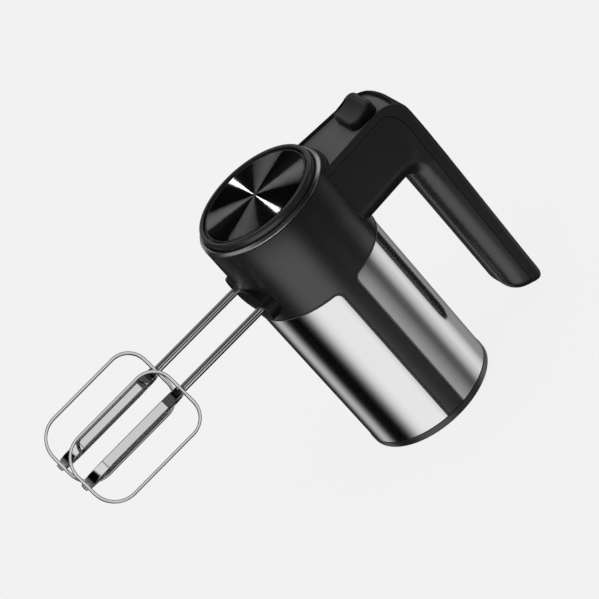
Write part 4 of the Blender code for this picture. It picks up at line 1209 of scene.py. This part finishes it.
INNER_FINISHES = {
    "satin_abs": ("cord_gland",),
    "nylon": ("speed_carriage", "ejector_yoke", "worm_gear_left", "worm_gear_right", "fan"),
    "brass": ("contact_slider", "brush_holder_front", "brush_holder_rear"),
    "case": ("switch_body", "gear_box", "gear_cover"),
    "sleeve": ("lead_live", "lead_neutral"),
    "zinc": ("lower_bracket", "upper_bracket"),
    "bronze": (
        "lower_bearing", "upper_bearing", "worm_end_bearing", "sleeve_bush_left",
        "sleeve_bush_right"),
    "lamination": ("field_core", "armature_core"),
    "copper": (
        "field_coil_left", "field_coil_right", "commutator", "winding_lower", "winding_upper"),
    "carbon": ("brush_front", "brush_rear"),
    "bearing_steel": (
        "armature_shaft", "worm", "drive_sleeve_left", "drive_sleeve_right", "push_pin_left",
        "push_pin_right"),
}


class MIXER_OT_works(bpy.types.Operator):
    """Give the motor, gears, switch and ejector inside the body their finishes"""

    bl_idname = "mixer.works"
    bl_label = "Inner works"

    def execute(self, context):
        for finish_name, nodes in INNER_FINISHES.items():
            for node in nodes:
                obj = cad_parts[node]
                if not obj.material_slots:
                    obj.data.materials.append(None)
                for slot in obj.material_slots:
                    slot.material = MATERIALS[finish_name]
        return {"FINISHED"}


# ---------------------------------------------------------------- stage

# The studio wall round the mixer, seen only in its reflections: azimuth and brightness.
WALL = (
    (-180, 0.08), (-168, 0.015), (-159, 0.03), (-153, 0.16), (-147, 0.40), (-141, 0.60),
    (-135, 0.67), (-129, 0.54), (-123, 0.30), (-117, 0.07), (-111, 0.005), (-93, 0.0),
    (-87, 0.03), (-81, 0.18), (-75, 0.48), (-69, 0.85), (-62, 1.14), (-52, 1.32), (-18, 1.33),
    (-9, 0.95), (3, 0.36), (16, 0.13), (30, 0.50), (40, 0.38), (56, 0.13), (64, 0.16),
    (76, 0.74), (90, 1.14), (101, 0.95), (116, 0.40), (137, 0.36), (160, 0.17),
)
WALL_MOST = 1.4
WALL_TILT = (-29, 14, 15)  # middle, half height and softness of the wall's bright part
DARK = 0.003  # what the studio gives off where there is nothing in it

# Past this far from the body, only the front of the wall shows fully: the collar reflects it.
SCREEN_FROM, SCREEN_SOFT = 258.0, 12.0
SCREEN_FRONT = (-42, 34, 18)
SCREEN_PASSES = 0.25

# Soft cards above and beside it: azimuth, its half width and softness, elevation, its half
# height and softness, brightness.
CARDS = (
    (-4, 15, 5, 36, 6, 4, 0.84),
    (-53, 24, 8, 24, 8, 6, 0.95),
    (46, 24, 10, 25, 9, 6, 0.09),
    (-100, 16, 16, 40, 12, 12, 0.62),
    (128, 20, 14, 18, 8, 10, 0.92),
    (-167, 8, 8, -7, 5, 8, 2.00),
    (173, 14, 12, 32, 16, 12, 0.38),
    (0, 180, 1, 90, 22, 12, 0.12),
)

# Lamps above and behind that only the spun disc answers to: direction, size in m, power in W.
FAN_LAMPS = (
    ((-0.51, 0.12, 0.851), 0.050, 36.0),
    ((-0.745, 0.355, 0.565), 0.32, 8.0),
    ((-0.656, -0.128, 0.744), 0.33, 7.9),
)
FAN_DISTANCE = 1.2

# The key lamp: direction, distance and size in m, power in W, and what it looks at.
KEY_LAMP = ((0.5, -0.5, 1.0), 1.6, 1.0, 3.0, (0, 0, 0.16))

FLOOR_HALF, FLOOR_DROP = 6.0, 0.0004  # in m
PAPER_GLOW = 0.94  # how much of the paper shows as its plain colour; the rest takes shadows

CAMERA_LENS = 290.94
CAMERA_AT = (2568.1, -353.5, 1538.3)
CAMERA_RIGHT = (0.414, 0.6989, -0.5832)
CAMERA_UP = (-0.2717, 0.7064, 0.6536)
CAMERA_BACK = (0.8688, -0.1122, 0.4824)


def within(tree, value, middle, half, soft):
    """1 inside a span of angles, falling smoothly to 0 outside it."""
    off = add_node(
        tree, "ShaderNodeMath", {0: value, 1: math.radians(middle)}, operation="SUBTRACT")
    near = add_node(
        tree, "ShaderNodeMath", {0: off, 1: math.pi, 2: -math.pi}, operation="WRAP")
    span = add_node(tree, "ShaderNodeMath", {0: near}, operation="ABSOLUTE")
    return add_node(
        tree, "ShaderNodeMapRange",
        {"Value": span, "From Min": math.radians(half + soft), "From Max": math.radians(half),
         "To Min": 0.0, "To Max": 1.0}, interpolation_type="SMOOTHSTEP")


def azimuth_of(tree, split):
    """The angle about Z, from the node that splits a direction or place."""
    return add_node(
        tree, "ShaderNodeMath", {0: split.outputs["Y"], 1: split.outputs["X"]},
        operation="ARCTAN2")


def studio_cards(tree):
    """The brightness of the studio in each direction: the wall, and the cards before it."""
    way = add_node(tree, "ShaderNodeTexCoord").outputs["Generated"]
    split = add_node(tree, "ShaderNodeSeparateXYZ", {0: way})
    azimuth = azimuth_of(tree, split)
    elevation = add_node(tree, "ShaderNodeMath", {0: split.outputs["Z"]}, operation="ARCSINE")
    around = add_node(
        tree, "ShaderNodeMapRange", {"Value": azimuth, "From Min": -math.pi, "From Max": math.pi})
    ramp = add_node(tree, "ShaderNodeValToRGB", {"Fac": around})
    stops = ramp.color_ramp.elements
    while len(stops) < len(WALL):
        stops.new(0.5)
    for stop, (place, bright) in zip(stops, WALL):
        stop.position = (place + 180) / 360
        stop.color = (*[bright / WALL_MOST] * 3, 1)
    wall = add_node(
        tree, "ShaderNodeMath", {0: ramp, 1: within(tree, elevation, *WALL_TILT)},
        operation="MULTIPLY")
    total = add_node(
        tree, "ShaderNodeMath", {0: wall, 1: WALL_MOST, 2: DARK}, operation="MULTIPLY_ADD")
    for *across, up, up_half, up_soft, bright in CARDS:
        card = add_node(
            tree, "ShaderNodeMath",
            {0: within(tree, azimuth, *across), 1: within(tree, elevation, up, up_half, up_soft)},
            operation="MULTIPLY")
        total = add_node(
            tree, "ShaderNodeMath", {0: card, 1: bright, 2: total}, operation="MULTIPLY_ADD")
    return total


def make_world(studio):
    """Pale to the camera, even for diffuse light, and a studio of soft cards in reflections."""
    world = bpy.data.worlds.new("studio")
    bpy.context.scene.world = world
    world.use_nodes = True
    world.cycles.sampling_method = "NONE"
    tree = world.node_tree
    tree.nodes.clear()
    white = (1, 1, 1, 1)
    cards, even, pale = [
        add_node(tree, "ShaderNodeBackground", {"Color": colour, "Strength": strength})
        for colour, strength in (
            (white, studio_cards(tree)), (white, studio.ambient), ((*studio.backdrop, 1), 1.0))]
    rays = add_node(tree, "ShaderNodeLightPath")
    lit = add_node(
        tree, "ShaderNodeMixShader", {0: rays.outputs["Is Glossy Ray"], 1: even, 2: cards})
    seen = add_node(
        tree, "ShaderNodeMixShader", {0: rays.outputs["Is Camera Ray"], 1: lit, 2: pale})
    add_node(tree, "ShaderNodeOutputWorld", {0: seen})


def studio_paper(studio):
    """Pale paper that takes the shadow, and that reflections look through to the studio wall."""
    paper, tree = new_material("studio paper")
    shader = tree.nodes["Principled BSDF"]
    for label, value in (
        ("Base Color", (*studio.backdrop, 1)), ("Roughness", 0.9), ("Specular IOR Level", 0.0),
    ):
        shader.inputs[label].default_value = value
    rays = add_node(tree, "ShaderNodeLightPath")
    glow = add_node(
        tree, "ShaderNodeEmission", {"Color": (*studio.backdrop, 1), "Strength": 1.0})
    share = add_node(
        tree, "ShaderNodeMath", {0: rays.outputs["Is Camera Ray"], 1: PAPER_GLOW},
        operation="MULTIPLY")
    seen = add_node(tree, "ShaderNodeMixShader", {0: share, 1: shader, 2: glow})
    # A screen starts away from the body.
    place = add_node(tree, "ShaderNodeTexCoord").outputs["Object"]
    azimuth = azimuth_of(tree, add_node(tree, "ShaderNodeSeparateXYZ", {0: place}))
    reach = add_node(tree, "ShaderNodeVectorMath", {0: place}, operation="LENGTH")
    far = add_node(tree, "ShaderNodeMapRange", {
        "Value": reach.outputs["Value"], "From Min": (SCREEN_FROM - SCREEN_SOFT) * MM,
        "From Max": (SCREEN_FROM + SCREEN_SOFT) * MM})
    screened = add_node(tree, "ShaderNodeMixRGB", {
        "Fac": within(tree, azimuth, *SCREEN_FRONT),
        "Color1": (*[SCREEN_PASSES] * 3, 1), "Color2": (1, 1, 1, 1)})
    passed = add_node(
        tree, "ShaderNodeMixRGB", {"Fac": far, "Color1": (1, 1, 1, 1), "Color2": screened})
    through = add_node(tree, "ShaderNodeBsdfTransparent", {"Color": passed})
    mixed = add_node(
        tree, "ShaderNodeMixShader", {0: rays.outputs["Is Glossy Ray"], 1: seen, 2: through})
    tree.links.new(mixed.outputs[0], tree.nodes["Material Output"].inputs[0])
    return paper


def place_object(name, data, location, rotation):
    """A lamp or the camera at its place, in m."""
    obj = bpy.data.objects.new(name, data)
    bpy.context.scene.collection.objects.link(obj)
    obj.location = location
    obj.rotation_mode = "QUATERNION"
    obj.rotation_quaternion = rotation
    return obj


def lamp(name, direction, distance, size, power, aim):
    """A round soft lamp that looks at the mixer from a direction."""
    data = bpy.data.lights.new(name, "AREA")
    data.shape = "DISK"
    data.size = size
    data.energy = power
    way = Vector(direction).normalized()
    return place_object(name, data, Vector(aim) + way * distance, way.to_track_quat("Z", "Y"))


class MIXER_OT_stage(bpy.types.Operator):
    """Build the floor, the world, the lamps and the camera"""

    bl_idname = "mixer.stage"
    bl_label = "Stage"

    def execute(self, context):
        scene = context.scene
        scene.view_settings.view_transform = "Standard"
        make_world(scene.mixer_studio)
        corners = [(x * FLOOR_HALF / MM, y * FLOOR_HALF / MM, -FLOOR_DROP / MM)
                   for x, y in ((-1, -1), (1, -1), (1, 1), (-1, 1))]
        floor = new_object("floor", corners, [], [(0, 1, 2, 3)])
        floor.data.materials.append(studio_paper(scene.mixer_studio))
        spun_only = bpy.data.collections.new("spun disc light")
        spun_only.objects.link(bpy.data.objects["spun_disc"])
        for i, (direction, size, power) in enumerate(FAN_LAMPS):
            fan = lamp("fan_lamp_%d" % i, direction, FAN_DISTANCE, size, power,
                       (0, 0, DISC_HIGH.z * MM))
            fan.light_linking.receiver_collection = spun_only
        lamp("key_lamp", *KEY_LAMP).visible_glossy = False
        camera = bpy.data.cameras.new("camera")
        camera.lens = CAMERA_LENS
        camera.sensor_width = 36.0
        camera.clip_start, camera.clip_end = 0.5, 20.0
        turn = Matrix((CAMERA_RIGHT, CAMERA_UP, CAMERA_BACK)).transposed()
        scene.camera = place_object("camera", camera, Vector(CAMERA_AT) * MM, turn.to_quaternion())
        return {"FINISHED"}


# ---------------------------------------------------------------- panel and run

OPERATORS = (
    MIXER_OT_body, MIXER_OT_panels, MIXER_OT_top, MIXER_OT_heel, MIXER_OT_boss,
    MIXER_OT_handle, MIXER_OT_slide, MIXER_OT_beaters, MIXER_OT_works, MIXER_OT_stage,
)


class MIXER_PT_sidebar(bpy.types.Panel):
    """The mixer's pieces and their sizes"""

    bl_idname = "MIXER_PT_sidebar"
    bl_label = "Hand mixer"
    bl_space_type = "VIEW_3D"
    bl_region_type = "UI"
    bl_category = "Mixer"

    def draw(self, context):
        for group in GROUPS:
            box = self.layout.box()
            settings = getattr(context.scene, group)
            for name in type(settings).__annotations__:
                box.prop(settings, name)
        for operator in OPERATORS:
            self.layout.operator(operator.bl_idname)


CLASSES = tuple(GROUPS.values()) + OPERATORS + (MIXER_PT_sidebar,)


def register():
    """Registers the classes, and the properties on the scene."""
    for cls in CLASSES:
        bpy.utils.register_class(cls)
    for name, group in GROUPS.items():
        setattr(bpy.types.Scene, name, bpy.props.PointerProperty(type=group))


def unregister():
    """Takes away what register added."""
    for name in GROUPS:
        delattr(bpy.types.Scene, name)
    for cls in reversed(CLASSES):
        bpy.utils.unregister_class(cls)


def main():
    """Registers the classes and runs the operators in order."""
    register()
    make_finishes()
    for operator in OPERATORS:
        group, name = operator.bl_idname.split(".")
        getattr(getattr(bpy.ops, group), name)()


if __name__ == "__main__":
    main()
